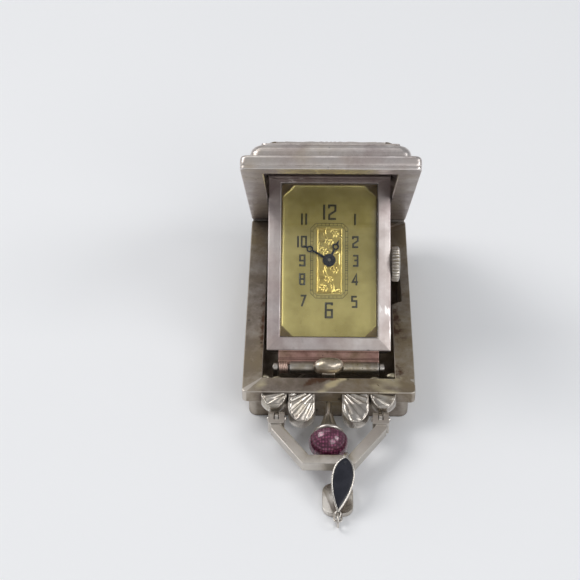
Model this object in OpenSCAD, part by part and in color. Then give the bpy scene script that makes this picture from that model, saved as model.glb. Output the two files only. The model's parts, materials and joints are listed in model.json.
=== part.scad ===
// Fob watch: an oblong watch head hinged inside a shallow tray with a hinged lid,
// a push piece with an enamel bead, a half-hexagon bow and an enamelled leaf link.
// Frame: origin at the centre of the tray's flat back, +Y towards the lid hinge, +Z up.

/* [Case] */
// Width of tray and lid
case_w = 24; // [23.8:0.1:24.4]
// Length of tray and lid, from the bead end to the lid hinge
case_l = 36.6; // [36.5:0.1:36.8]
// Depth of the tray
tray_h = 5.8; // [5.8:0.1:6]
// Thickness of the lid at its free end
lid_h = 4.2; // [4.2:0.1:4.4]
// Width of the flat rim round the tray opening
rim_w = 2.75; // [2.7:0.05:2.8]
// Width of the flat rim round the lid opening
lid_rim_w = 3; // [2.9:0.05:3]
// Angle of the lid when it is open
lid_open = 50.8; // [50.5:0.1:51.5]

/* [Watch head] */
// Width of the watch head
head_w = 17.6; // [17.4:0.1:17.6]
// Length of the watch head
head_l = 26.1; // [25.9:0.1:26.1]
// Width of the bezel bars at the sides and beside the watch hinge
bar_w = 1.9; // [1.7:0.05:2]
// Width of the bezel bar at the end that rises
top_bar_w = 1.75; // [1.6:0.05:1.8]
// Angle of the watch head when it stands up
head_open = 36; // [35:1:36]
// Diameter of the winding crown
crown_d = 5.1; // [4.7:0.1:5.1]
// Thickness of the winding crown
crown_t = 1.2; // [1:0.05:1.2]

/* [Dial] */
// Hour shown by the hands
show_hour = 12; // [1:1:12]
// Minute shown by the hands
show_minute = 50; // [0:1:59]

/* [Fittings] */
// Diameter of the enamel bead on the push piece
bead_d = 5.4; // [5:0.1:5.4]
// Width across the bow's outer legs, centre to centre
bow_w = 14.3; // [14.2:0.1:14.4]
// Length of the leaf-shaped link
leaf_l = 7.6; // [7.4:0.1:7.7]
// Width of the leaf-shaped link
leaf_w = 3.1; // [2.8:0.1:3.2]

/* [Hidden] */
$fn = 64;

// Places of the case in the frame
end_y = -case_l / 2;
hinge_y = case_l / 2;
rim_z = tray_h;

// Tray
band_h = 2;
tray_step = 0.8;
flange_t = 0.5;
tray_floor = 0.45;
tray_wall = 1.3;
hinge_end_rim = 1.7;
edge_r = 0.6;
notch_half = 3;
notch_depth = 1.45;

// Lid
lid_gap = 0.05;
lid_step_w = 21.5;
panel_w = 18.9;
lid_wall = 0.42;
crest_h = 6.25;
relief_l = 15;

// Hinge of the lid
knuckle_r = 0.8;
lid_pin_r = 0.35;
run = 0.05;
tray_knuckles = [[-9, -5.4], [-1.8, 1.8], [5.4, 9]];
lid_knuckles = [[-5.3, -1.9], [1.9, 5.3]];

// Hinge of the watch head
pivot_y = end_y + 5.6;
pivot_z = rim_z - 1;
pivot_r = 0.875;
pin_r = 0.4;
barrel_x = [-5.5, 7.1];
coil_x = [-7.15, -5.55];
ear_x = 7.5;
ear_t = 0.6;

// Levels of the watch head, measured from the pivot with the head lying flat
head_v = 2.5;
front_w = -0.15;
bezel_rise = 0.4;
bezel_t = 1;
band_t = 1;
back_t = 1.7;
inset = 0.2;
open_l = head_l - bar_w - top_bar_w;
hub_v = head_v + bar_w + open_l / 2;
crown_v = 15.4;
stem_w = front_w - 1.5;
stem_r = 0.25;

// Levels of the movement, measured down from the bezel's outer edge
dial_top = 0.6;
dial_t = 0.25;
plate_top = 1.35;
plate_bottom = 1.8;
bridge_top = 2.75;
bridge_bottom = 3.05;
plate_x = 14.4;
plate_v = 22.4;
arbor_r = 0.16;
pivot_hole_r = 0.21;

// Wheel centres, measured from the hub: across, along
barrel_c = [-2, -4];
third_c = [2.6, 2.49];
fourth_c = [-0.3, 4.29];
escape_c = [-1.2, 7.24];
fork_c = [0.4, 7.4];
balance_c = [3.3, 7.9];
minute_c = [-1.5, -1];

// Push piece
rod_z = rim_z - 2.3;
rod_r = 0.4;
head_x = 2.1;
bead_y = end_y - 7;
bead_cut = 1.1;
collar_t = 0.45;
cap_l = 3;

// Bow
bow_y = end_y - 2.9;
bow_z = rod_z;
bow_bar = 1.5;
bow_t = 1.5;
bow_leg = 2;
bow_reach = 7.75;
bow_foot = 3.1;
lug_t = 0.56;
lug_gap = 0.07;
bow_pin_r = 0.35;

// Leaf link
leaf_x = 1.25;
leaf_lean = 8;
leaf_droop = 29;
leaf_rise = 1.45;
leaf_start = 0.6;
leaf_t = 0.5;
loop_x = 1;
loop_r = 1.28;
loop_t = 0.15;
loop_w = 0.8;
eye_v = leaf_start - 0.1 - leaf_l;
ring_r = 0.85;
ring_wire = 0.14;
ring_angle = -36;
link_w = 4.1;
link_l = 5.1;
link_low = 0.05;
link_t = 0.7;
tab_t = 0.24;
tab_r = 0.62;
ring_v = eye_v - ring_r;
ring_h = leaf_rise + leaf_t / 2;
ring_y = bow_y - bow_reach + ring_v * cos(leaf_droop) - ring_h * sin(leaf_droop);

// A rounded rectangle, centred
module round_rect(w, l, r) {
    square([w - 2 * r, l], center = true);
    square([w, l - 2 * r], center = true);
    for (x = [-1, 1], y = [-1, 1])
        translate([x * (w / 2 - r), y * (l / 2 - r)]) circle(r);
}

// A rounded slab between two heights
module slab(w, l, r, low, high) {
    translate([0, 0, low]) linear_extrude(high - low) round_rect(w, l, r);
}

// A cylinder along X between two places
module rod_x(r, x0, x1) {
    translate([x0, 0, 0]) rotate([0, 90, 0]) cylinder(r = r, h = x1 - x0);
}

// A side outline of [y, z] points, extruded along X about the middle
module along_x(w, points) {
    translate([-w / 2, 0, 0]) rotate([90, 0, 90]) linear_extrude(w) polygon(points);
}

// A front outline of [x, z] points, extruded along Y between two places
module along_y(y0, y1, points) {
    translate([0, y1, 0]) rotate([90, 0, 0]) linear_extrude(y1 - y0) polygon(points);
}

// The lid's own frame: closed, with the hinge axis at the origin
module in_lid() {
    translate([0, hinge_y, rim_z]) rotate([-lid_open, 0, 0]) children();
}

// The watch head's own frame: lying flat, with its pivot at the origin
module in_head() {
    translate([0, pivot_y, pivot_z]) rotate([head_open, 0, 0]) children();
}

// The movement's frame: origin on the hub at the bezel's outer edge
module in_works() {
    in_head() translate([0, hub_v, front_w]) children();
}

// A disc of the works between two depths below the bezel's edge
module works_disc(c, r, top, bottom) {
    translate([c[0], c[1], -bottom]) cylinder(r = r, h = bottom - top);
}

// Outline of a toothed wheel: teeth of equal width, a little narrower than the gaps
module teeth(count, r, depth) {
    pitch = 360 / count;
    polygon([for (i = [0 : count - 1]) for (p = [[-0.2, 1], [0.2, 1], [0.3, 0], [0.7, 0]])
        let (a = pitch * (i + p[0]), d = r + depth * (p[1] - 0.5)) [d * cos(a), d * sin(a)]]);
}

// A train wheel: toothed disc with crossings, pinion and arbor, turned by phase
module train_wheel(c, count, r, level, pinion_n, pinion_r, pinion_level, ends, phase = 0) {
    translate([c[0], c[1], 0]) {
        translate([0, 0, -level - 0.06]) difference() {
            linear_extrude(0.12) rotate(phase) teeth(count, r, 0.14);
            for (i = [0 : 3]) rotate(90 * i + 45) translate([r * 0.56, 0, -1])
                cylinder(r = r * 0.24, h = 2);
        }
        translate([0, 0, -pinion_level[1]]) linear_extrude(pinion_level[1] - pinion_level[0])
            teeth(pinion_n, pinion_r, 0.12);
        translate([0, 0, -ends[1]]) cylinder(r = arbor_r, h = ends[1] - ends[0]);
    }
}

// ---- Tray ----

module tray() {
    color("silver") difference() {
        union() {
            slab(case_w, case_l, edge_r, rim_z - band_h, rim_z);
            slab(case_w - 2 * tray_step, case_l - 2 * tray_step, 1.2, 0, rim_z - band_h);
            translate([0, hinge_y, rim_z]) for (k = tray_knuckles) rod_x(knuckle_r, k[0], k[1]);
        }
        // The hollow under the rim
        slab(case_w - 2 * tray_wall, case_l - 2 * tray_wall, 0.8, tray_floor, rim_z - flange_t);
        // The opening in the rim
        translate([-case_w / 2 + rim_w, end_y + rim_w, rim_z - 1])
            cube([case_w - 2 * rim_w, case_l - rim_w - hinge_end_rim, 2]);
        // The notch that lets the crown down
        translate([case_w / 2 - rim_w - 1, pivot_y + crown_v - notch_half, rim_z - 1])
            cube([1 + notch_depth, 2 * notch_half, 2]);
        // Room for the lid's knuckles and the pin
        translate([0, hinge_y, rim_z]) {
            for (k = lid_knuckles) rod_x(knuckle_r + 0.08, k[0] - 0.08, k[1] + 0.08);
            rod_x(lid_pin_r + run, -10, 10);
        }
        // The guide hole of the push rod
        translate([0, end_y - 1, rod_z]) rotate([-90, 0, 0]) cylinder(r = rod_r + run, h = 3);
    }
}

module hinge_ears() {
    color("dimgray") for (s = [-1, 1]) translate([s * ear_x, 0, 0]) difference() {
        union() {
            translate([-ear_t / 2, pivot_y - 0.7, tray_floor])
                cube([ear_t, 1.4, pivot_z - tray_floor]);
            translate([0, pivot_y, pivot_z]) rod_x(0.7, -ear_t / 2, ear_t / 2);
        }
        translate([0, pivot_y, pivot_z]) rod_x(pin_r, -1, 1);
    }
}

module watch_hinge_pin() {
    color("silver") translate([0, pivot_y, pivot_z]) rod_x(pin_r, -ear_x - 0.4, ear_x + 0.4);
}

module torsion_spring() {
    turns = 5;
    pitch = (coil_x[1] - coil_x[0] - 0.1) / turns;
    color("rosybrown") intersection() {
        translate([0, pivot_y, pivot_z]) {
            for (i = [0 : turns - 1]) translate([coil_x[0] + 0.05 + pitch * (i + 0.5), 0, 0])
                rotate([0, 90, 0]) rotate_extrude() translate([0.67, 0]) circle(0.19, $fn = 24);
            rotate([-60, 0, 0]) translate([coil_x[0] + 0.1, -0.78, -0.08])
                cube([coil_x[1] - coil_x[0] - 0.2, 0.2, 0.16]);
        }
        translate([coil_x[0] + 0.04, pivot_y - 2, pivot_z - 2]) cube([coil_x[1] - coil_x[0] - 0.08, 4, 4]);
    }
}

// ---- Lid ----

// Front outline of the lid's body, inset by t
function lid_front(t) = [[-case_w / 2 + t, -1], [case_w / 2 - t, -1], [case_w / 2 - t, band_h - t],
    [lid_step_w / 2 - t, band_h - t], [lid_step_w / 2 - t, band_h + 1 - t],
    [panel_w / 2 - t, lid_h - 0.3 - t], [-panel_w / 2 + t, lid_h - 0.3 - t],
    [-lid_step_w / 2 + t, band_h + 1 - t], [-lid_step_w / 2 + t, band_h - t],
    [-case_w / 2 + t, band_h - t]];

// Side outline of the lid's body, inset by t
function lid_side(t) = [[-case_l + t, -1], [-t, -1], [-t, band_h - t], [-0.9 - t, band_h - t],
    [-0.9 - t, lid_h - 1 - t], [-2.2 - t, lid_h - 0.3 - t], [-case_l + 2.5 + t, lid_h - 0.3 - t],
    [-case_l + 1.25 + t, band_h + 1 - t], [-case_l + 1.25 + t, band_h - t],
    [-case_l + t, band_h - t]];

// Side outline of the raised panel, inset by t
function panel_side(t) = [[-case_l + 2.7 + t, 2], [-2.4 - t, 2], [-2.4 - t, lid_h - t],
    [-6.2, crest_h - 0.35 - t], [-8.6, crest_h - t], [-13.4, crest_h - t],
    [-17.5, crest_h - 0.45 - t], [-case_l + 2.7 + t, lid_h - t]];

module lid_hull(t) {
    intersection() {
        along_y(-case_l - 1, 1, lid_front(t));
        along_x(case_w + 2, lid_side(t));
    }
    along_x(panel_w - 2 * t, panel_side(t));
}

module lid() {
    color("silver") in_lid() difference() {
        union() {
            intersection() {
                lid_hull(0);
                translate([0, -case_l / 2, 0]) slab(case_w, case_l, edge_r, lid_gap, 10);
            }
            for (k = lid_knuckles) rod_x(knuckle_r, k[0], k[1]);
        }
        difference() {
            lid_hull(lid_wall);
            translate([-20, -60, -5]) cube([40, 80, 5 + lid_gap + flange_t]);
        }
        translate([-case_w / 2 + lid_rim_w, -case_l + lid_rim_w, -1])
            cube([case_w - 2 * lid_rim_w, case_l - lid_rim_w - hinge_end_rim, 3]);
        for (k = tray_knuckles) rod_x(knuckle_r + 0.08, k[0] - 0.08, k[1] + 0.08);
        rod_x(lid_pin_r + run, -10, 10);
    }
}

// Thin ornamental plate on the sloping back of the raised panel
module lid_relief() {
    slope = atan((crest_h - 0.45 - lid_h) / (case_l - 2.7 - 17.5));
    color("dimgray") in_lid() translate([0, -case_l + 2.7, lid_h]) rotate([slope, 0, 0])
        translate([0, relief_l / 2 + 0.1, 0]) linear_extrude(0.25) cut_rect(16.4, relief_l, 1);
}

module lid_hinge_pin() {
    color("silver") translate([0, hinge_y, rim_z]) rod_x(lid_pin_r, -9.2, 9.2);
}

// ---- Watch hinge on the head ----

module heel_barrel() {
    color("silver") in_head() difference() {
        rod_x(pivot_r, barrel_x[0], barrel_x[1]);
        rod_x(pin_r + run, -20, 20);
    }
}

module heel_plate() {
    color("rosybrown") in_head() difference() {
        translate([-7.2, 0.2, -0.75]) cube([14.4, head_v - 0.2, 0.6]);
        rod_x(pivot_r + 0.005, -8, 8);
    }
}

// ---- Push piece ----

module catch_head() {
    color("silver") {
        translate([-0.9, end_y + 3.1, rod_z - 0.7]) difference() {
            cube([1.8, 0.85, 3.2]);
            translate([0.9, -0.1, 0.7]) rotate([-90, 0, 0]) cylinder(r = rod_r, h = 2);
        }
        intersection() {
            translate([-head_x, end_y + 3.2, rod_z + 2.45]) cube([2 * head_x, 2.2, 1.85]);
            translate([0, end_y + 4.1, rod_z + 1.7]) rotate([90, 0, 0])
                cylinder(r = 2.6, h = 4, center = true);
        }
    }
}

module push_rod() {
    start = bead_y + bead_cut - 0.6;
    color("silver") translate([0, start, rod_z]) rotate([-90, 0, 0])
        cylinder(r = rod_r, h = end_y + 3.95 - start);
}

module pusher_spring() {
    color("silver") for (i = [0 : 3]) translate([0, end_y + 1.55 + 0.4 * i, rod_z])
        rotate([90, 0, 0]) rotate_extrude() translate([0.62, 0]) circle(0.12, $fn = 24);
}

module lotus_cap() {
    flutes = 12;
    color("silver") translate([0, bead_y + bead_cut + collar_t + cap_l, rod_z]) rotate([90, 0, 0])
        difference() {
        rotate_extrude() polygon([[rod_r, 0], [0.8, 0], [0.95, 0.5], [1.45, 2.2], [1.65, cap_l],
            [rod_r, cap_l]]);
        for (i = [0 : flutes - 1]) rotate(360 / flutes * i) translate([1.62, 0, -1])
            cylinder(r = 0.2, h = 5);
    }
}

module bead_collar() {
    color("silver") translate([0, bead_y + bead_cut, rod_z]) rotate([-90, 0, 0]) difference() {
        cylinder(r = 1.95, h = collar_t);
        translate([0, 0, -1]) cylinder(r = rod_r, h = 3);
    }
}

// Bead, cut flat where the collar meets it
module enamel_bead() {
    color("orchid") translate([0, bead_y, rod_z]) difference() {
        sphere(bead_d / 2);
        translate([-4, bead_cut, -4]) cube(8);
        translate([0, bead_cut - 0.6, 0]) rotate([-90, 0, 0]) cylinder(r = rod_r, h = 2);
    }
}

// ---- Ornament and bow ----

// A rounded petal that springs from the end wall and curls down to its tip
module petal(x0, x1, reach, low) {
    mid = (x0 + x1) / 2;
    r = (x1 - x0) / 2;
    intersection() {
        translate([mid, 0, -10]) linear_extrude(20) intersection() {
            union() {
                translate([0, r - reach]) circle(r);
                translate([-r, r - reach]) square([2 * r, 2 * reach]);
            }
            translate([-r - 1, -reach - 1]) square([2 * r + 2, reach + 1]);
        }
        along_x(40, [[0, -0.35], [-reach * 0.4, -0.5], [-reach * 0.75, -1.1],
            [-reach, low + 0.6], [-reach, low], [-reach * 0.6, low + 0.3], [0, low + 0.3]]);
    }
}

module inner_petals() {
    color("silver") translate([0, end_y, rim_z]) for (s = [-1, 1]) mirror([s < 0 ? 1 : 0, 0, 0])
        petal(1.8, 5.6, 4.1, -2.8);
}

module outer_petals() {
    color("silver") translate([0, end_y, rim_z]) for (s = [-1, 1]) mirror([s < 0 ? 1 : 0, 0, 0])
        petal(5.7, 9.4, 1.7, -2.3);
}

module bow_lugs() {
    color("silver") for (s = [-1, 1]) translate([s * bow_w / 2, 0, bow_z]) difference() {
        union() {
            translate([-lug_t / 2, bow_y, -0.6]) cube([lug_t, end_y - bow_y, 0.5]);
            translate([0, bow_y, 0]) rod_x(0.75, -lug_t / 2, lug_t / 2);
        }
        translate([0, bow_y, 0]) rod_x(bow_pin_r, -1, 1);
    }
}

// Plan of the bow: outer outline or inner outline at distance d from its centre line
function bow_plan(d) = [[bow_w / 2 + d, 0], [bow_w / 2 + d, -bow_leg - d * 0.3],
    [bow_foot + d * 0.55, -bow_reach - d], [-bow_foot - d * 0.55, -bow_reach - d],
    [-bow_w / 2 - d, -bow_leg - d * 0.3], [-bow_w / 2 - d, 0]];

module bow() {
    slot = lug_t / 2 + lug_gap;
    color("silver") translate([0, bow_y, bow_z]) difference() {
        union() {
            translate([0, 0, -bow_t / 2]) linear_extrude(bow_t) difference() {
                polygon(bow_plan(bow_bar / 2));
                translate([0, 0.01]) polygon(bow_plan(-bow_bar / 2));
            }
            for (s = [-1, 1]) translate([s * bow_w / 2, 0, 0]) {
                rod_x(1, -1.1, 1.1);
                translate([-1.1, -1.6, -1]) cube([2.2, 1.6, 2]);
            }
        }
        for (s = [-1, 1]) translate([s * bow_w / 2, 0, 0]) {
            translate([-slot, -0.95, -3]) cube([2 * slot, 4, 6]);
            rod_x(bow_pin_r + run, -3, 3);
        }
    }
}

module bow_pins() {
    color("silver") for (s = [-1, 1]) translate([s * bow_w / 2, bow_y, bow_z])
        rod_x(bow_pin_r, -1.35, 1.35);
}

// ---- Leaf link ----

// The leaf's own frame: origin on the bow's bottom bar, leaf running towards -Y
module in_leaf() {
    translate([leaf_x, bow_y - bow_reach, bow_z]) rotate([leaf_droop, 0, 0]) children();
}

// Pointed oval of a given length and width, in its place and leaning to +X at its top
module leaf_plan(l, w) {
    r = (l * l / 4 + w * w / 4) / w;
    translate([0, eye_v]) rotate(-leaf_lean) translate([0, leaf_start - leaf_l / 2 - eye_v])
        intersection() {
        translate([r - w / 2, 0]) circle(r);
        translate([w / 2 - r, 0]) circle(r);
    }
}

module leaf_loop() {
    color("silver") in_leaf() translate([loop_x, 0, 0]) rotate([0, 90, 0]) difference() {
        cylinder(r = loop_r + loop_t, h = loop_w, center = true);
        cylinder(r = loop_r - loop_t, h = 3, center = true);
    }
}

module leaf_frame() {
    color("silver") in_leaf() difference() {
        union() {
            translate([0, 0, leaf_rise]) linear_extrude(leaf_t) leaf_plan(leaf_l, leaf_w);
            translate([0, eye_v, ring_h - tab_t / 2]) cylinder(r = 0.5, h = tab_t);
        }
        translate([0, 0, leaf_rise + 0.15]) linear_extrude(leaf_t)
            leaf_plan(leaf_l - 1.6, leaf_w - 0.6);
        translate([0, eye_v, 0]) cylinder(r = 0.3, h = 3);
        rotate([0, 90, 0]) cylinder(r = loop_r + loop_t, h = 9, center = true);
    }
}

module leaf_enamel() {
    color("midnightblue") in_leaf() translate([0, 0, leaf_rise + 0.15])
        linear_extrude(leaf_t - 0.1) leaf_plan(leaf_l - 1.6, leaf_w - 0.6);
}

module jump_ring() {
    color("silver") in_leaf() translate([0, ring_v, ring_h]) rotate([0, 90, 0]) rotate_extrude()
        translate([ring_r, 0]) circle(ring_wire, $fn = 24);
}

// Rounded link that lies folded back under the leaf, with its eye on the jump ring
module end_link() {
    eye = [leaf_x, ring_y + ring_r * cos(ring_angle), link_low];
    color("silver") translate(eye) difference() {
        union() {
            translate([0, link_l / 2 + 0.75, 0]) linear_extrude(link_t)
                round_rect(link_w, link_l, 1.4);
            translate([0, 0, link_t - tab_t]) cylinder(r = tab_r, h = tab_t);
            translate([-0.6, 0, link_t - tab_t]) cube([1.2, 1, tab_t]);
        }
        translate([0, 0, -1]) cylinder(r = 0.38, h = 3);
    }
}

// ---- Watch case ----

module bezel() {
    w = front_w;
    in_h = w + bezel_rise;
    color("silver") in_head() difference() {
        intersection() {
            along_x(30, [[head_v, w - bezel_t], [head_v + head_l, w - bezel_t],
                [head_v + head_l, w - 0.7], [head_v + head_l - 0.8, w],
                [head_v + head_l - top_bar_w, in_h], [head_v + bar_w, in_h], [head_v, w]]);
            along_y(0, 40, [[-head_w / 2, w - bezel_t], [head_w / 2, w - bezel_t], [head_w / 2, w],
                [head_w / 2 - bar_w, in_h], [bar_w - head_w / 2, in_h], [-head_w / 2, w]]);
        }
        translate([bar_w - head_w / 2, head_v + bar_w, -5])
            cube([head_w - 2 * bar_w, open_l, 10]);
        // Seat of the dial and the works
        translate([-7.8, head_v + 0.8, w - 5]) cube([15.6, head_l - 1.6, 5 - dial_top]);
    }
}

module crystal() {
    l = open_l;
    cw = head_w - 2 * bar_w;
    low = front_w + 0.1;
    color("lightcyan", 0.35) in_head() translate([0, hub_v, 0]) intersection() {
        along_x(cw, [[-l / 2, low], [l / 2, low], [l / 2, low + 0.35], [l / 2 - 1, low + 0.55],
            [-l / 2 + 1, low + 0.55], [-l / 2, low + 0.35]]);
        along_y(-20, 20, [[-cw / 2, low], [cw / 2, low], [cw / 2, low + 0.35],
            [cw / 2 - 1, low + 0.55], [1 - cw / 2, low + 0.55], [-cw / 2, low + 0.35]]);
    }
}

// One storey of the case wall
module case_ring(low, high, floor_t) {
    translate([0, head_v + head_l / 2, 0]) difference() {
        slab(head_w - 2 * inset, head_l - 2 * inset, 0.4, low, high);
        translate([-7.9, -head_l / 2 + 0.75, low + floor_t]) cube([15.8, head_l - 1.5, 5]);
    }
}

module case_band() {
    top = front_w - bezel_t;
    color("silver") in_head() difference() {
        case_ring(top - band_t, top, -1);
        translate([0, crown_v, stem_w]) rod_x(stem_r + run, 5, 12);
    }
}

module case_back() {
    top = front_w - bezel_t - band_t;
    color("silver") in_head() case_ring(top - back_t, top, 0.35);
}

// ---- Dial and hands ----

// Rectangle with cut corners
module cut_rect(w, l, c) {
    polygon([[-w / 2 + c, -l / 2], [w / 2 - c, -l / 2], [w / 2, -l / 2 + c], [w / 2, l / 2 - c],
        [w / 2 - c, l / 2], [-w / 2 + c, l / 2], [-w / 2, l / 2 - c], [-w / 2, -l / 2 + c]]);
}

module dial() {
    color("palegoldenrod") in_works() translate([0, 0, -dial_top - dial_t]) linear_extrude(dial_t)
        difference() {
            square([15.4, head_l - 1.8], center = true);
            circle(0.75);
        }
}

// Raised minute track and hour blocks on the dial
module dial_markings() {
    color("darkslategray") in_works() translate([0, 0, -dial_top]) linear_extrude(0.04) {
        difference() {
            cut_rect(5.4, 11, 0.75);
            cut_rect(5.2, 10.8, 0.72);
        }
        for (h = [0 : 11])
            let (a = 30 * h, k = min(3.8 / max(abs(sin(a)), 0.01), 7.2 / max(abs(cos(a)), 0.01)))
                translate([k * sin(a), k * cos(a)]) square([0.6, 1.4], center = true);
    }
}

module hand(l, angle, low, hole) {
    translate([0, 0, low]) rotate(-angle) linear_extrude(0.1) difference() {
        union() {
            circle(hole + 0.3);
            translate([-0.11, 0]) square([0.22, l - 1.4]);
            translate([0, l - 1.1]) circle(0.42);
            polygon([[-0.2, l - 0.8], [0.2, l - 0.8], [0, l]]);
        }
        circle(hole);
        translate([0, l - 1.1]) circle(0.22);
    }
}

module hour_hand() {
    color("midnightblue") in_works()
        hand(3.3, 30 * (show_hour % 12) + show_minute / 2, -0.42, 0.42);
}

module minute_hand() {
    color("midnightblue") in_works() hand(4.3, 6 * show_minute, -0.22, 0.2);
}

// ---- Winding ----

module crown() {
    knurls = 24;
    x0 = head_w / 2 + 0.15;
    color("silver") in_head() translate([x0, crown_v, stem_w]) rotate([0, 90, 0]) difference() {
        cylinder(r = crown_d / 2, h = crown_t);
        for (i = [0 : knurls - 1]) rotate(360 / knurls * i) translate([crown_d / 2 + 0.05, 0, -1])
            cylinder(r = 0.2, h = 4);
        translate([0, 0, -0.01]) cylinder(r = stem_r, h = 0.7);
    }
}

module stem() {
    color("silver") in_head() translate([0, crown_v, stem_w]) rod_x(stem_r, 4.6, head_w / 2 + 0.8);
}

module winding_pinion() {
    color("silver") in_head() translate([5, crown_v, stem_w]) rotate([0, 90, 0]) difference() {
        linear_extrude(0.9) teeth(10, 0.45, 0.12);
        translate([0, 0, -1]) cylinder(r = stem_r + 0.02, h = 4);
    }
}

// ---- Works ----

module main_plate() {
    color("gold") in_works() difference() {
        translate([0, 0, -plate_bottom]) linear_extrude(plate_bottom - plate_top)
            cut_rect(plate_x, plate_v, 0.6);
        translate([4.2, crown_v - hub_v - 0.7, -3]) cube([5, 1.4, 3]);
        for (c = [[0, 0], third_c, fourth_c, escape_c, fork_c, balance_c, barrel_c])
            works_disc(c, pivot_hole_r, 0, 4);
    }
}

// Ring that fills the space between the works and the case wall
module movement_ring() {
    color("gray") in_works() difference() {
        translate([0, 0, -plate_bottom]) linear_extrude(plate_bottom - plate_top) difference() {
            square([15.7, head_l - 1.75], center = true);
            cut_rect(plate_x + 0.02, plate_v + 0.02, 0.6);
        }
        translate([4.2, crown_v - hub_v - 0.7, -3]) cube([5, 1.4, 3]);
    }
}

module barrel_bridge() {
    color("gold") in_works() difference() {
        union() {
            translate([0, 0, -bridge_bottom]) linear_extrude(bridge_bottom - bridge_top)
                polygon([[-7, -11], [7, -11], [7, -1.4], [2.4, -1.4], [1.2, -0.9], [-7, -0.9]]);
            for (c = [[6, -10], [-6.4, -10.2], [6.2, -3]]) works_disc(c, 0.5, plate_bottom, bridge_bottom);
        }
        works_disc(barrel_c, pivot_hole_r, 0, 4);
    }
}

module train_bridge() {
    color("gold") in_works() difference() {
        union() {
            translate([0, 0, -bridge_bottom]) linear_extrude(bridge_bottom - bridge_top)
                polygon([[-7, -0.7], [1.1, -0.7], [2.4, -1.2], [7, -1.2], [7, 4.6], [1.4, 4.9],
                    [0.2, 6.4], [0.2, 8.1], [-1.6, 9], [-7, 9]]);
            for (c = [[-6.2, 0.6], [-5.6, 8.2], [6.5, 0.6]]) works_disc(c, 0.45, plate_bottom, bridge_bottom);
        }
        works_disc([0, 0], pivot_hole_r, 0, 4);
        for (c = [third_c, fourth_c, escape_c]) works_disc(c, pivot_hole_r, 0, 4);
    }
}

module balance_cock() {
    color("gold") in_works() difference() {
        union() {
            translate([0, 0, -bridge_bottom]) linear_extrude(bridge_bottom - bridge_top)
                polygon([[0.4, 6.6], [1.6, 5.1], [7, 4.9], [7, 11], [-3, 11], [-3, 9.9],
                    [0.4, 8.4]]);
            works_disc([-1.2, 10.4], 0.45, plate_bottom, bridge_bottom);
        }
        works_disc(balance_c, pivot_hole_r, 0, 4);
        works_disc([0.4, 7.4], pivot_hole_r, 0, 4);
    }
}

module barrel() {
    color("gold") in_works() translate([barrel_c[0], barrel_c[1], 0]) {
        translate([0, 0, -2.66]) cylinder(r = 3.6, h = 0.56);
        translate([0, 0, -2.32]) linear_extrude(0.12) rotate(2) teeth(70, 3.91, 0.14);
        translate([0, 0, -bridge_bottom]) cylinder(r = arbor_r, h = bridge_bottom - plate_top - 0.1);
    }
}

module ratchet_wheel() {
    color("silver") in_works() translate([barrel_c[0], barrel_c[1], -3.25])
        linear_extrude(0.18) difference() {
            teeth(24, 1.9, 0.3);
            circle(arbor_r + 0.02);
        }
}

module crown_wheel() {
    color("silver") in_works() translate([barrel_c[0] + 3.56, barrel_c[1] + 0.4, -3.25])
        linear_extrude(0.18) difference() {
            teeth(18, 1.42, 0.26);
            circle(0.3);
        }
}

module click() {
    color("silver") in_works() translate([0, 0, -3.25]) linear_extrude(0.18)
        polygon([[-4.9, -6.6], [-4.3, -7], [-3.35, -5.75], [-3.5, -5.5]]);
}

module centre_wheel() {
    color("gold") in_works() train_wheel([0, 0], 64, 3.2, 1.94, 10, 0.56, [2.12, 2.4], [1.2, 3]);
}

module third_wheel() {
    color("gold") in_works() train_wheel(third_c, 60, 3, 2.56, 8, 0.4, [1.86, 2.04], [1.45, 3], 3);
}

module fourth_wheel() {
    color("gold") in_works() train_wheel(fourth_c, 70, 2.8, 2.24, 8, 0.4, [2.48, 2.64], [1.45, 3], 2);
}

module escape_wheel() {
    color("silver") in_works() train_wheel(escape_c, 15, 0.98, 2.44, 7, 0.28, [2.16, 2.32], [1.45, 3], 0);
}

module pallet_fork() {
    color("silver") in_works() translate([fork_c[0], fork_c[1], 0]) {
        translate([0, 0, -2.5]) linear_extrude(0.12) union() {
            circle(0.3);
            rotate(9.8) translate([0, -0.09]) square([2.2, 0.18]);
            translate([-0.12, -0.75]) square([0.24, 1.5]);
        }
        translate([0, 0, -3]) cylinder(r = 0.1, h = 1.5);
    }
}

module balance_wheel() {
    color("gold") in_works() translate([balance_c[0], balance_c[1], 0]) {
        translate([0, 0, -2.06]) linear_extrude(0.16) {
            difference() {
                circle(2.8);
                circle(2.45);
            }
            square([5.2, 0.34], center = true);
        }
        translate([0, 0, -3]) cylinder(r = 0.12, h = 1.55);
        translate([0, 0, -2.5]) cylinder(r = 0.4, h = 0.1);
    }
}

// Flat spiral of the balance spring, as closely spaced rings joined by a radial bar
module hairspring() {
    rings = 5;
    color("midnightblue") in_works() translate([balance_c[0], balance_c[1], -2.32])
        linear_extrude(0.1) {
            for (i = [1 : rings]) difference() {
                circle(0.3 + 0.2 * i);
                circle(0.25 + 0.2 * i);
            }
            translate([0.3, -0.04]) square([1.6, 0.08]);
        }
}

module cannon_pinion() {
    color("silver") in_works() translate([0, 0, -1.28]) {
        linear_extrude(0.14) difference() {
            teeth(10, 0.45, 0.12);
            circle(0.2);
        }
        difference() {
            cylinder(r = 0.28, h = 1.06);
            translate([0, 0, -1]) cylinder(r = 0.2, h = 3);
        }
        translate([0, 0, 0.96]) cylinder(r = 0.2, h = 0.3);
    }
}

module minute_wheel() {
    color("gold") in_works() translate([minute_c[0], minute_c[1], -1.28]) {
        linear_extrude(0.12) rotate(5) teeth(30, 1.35, 0.12);
        translate([0, 0, 0.1]) linear_extrude(0.24) rotate(12) teeth(8, 0.36, 0.1);
    }
}

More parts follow.
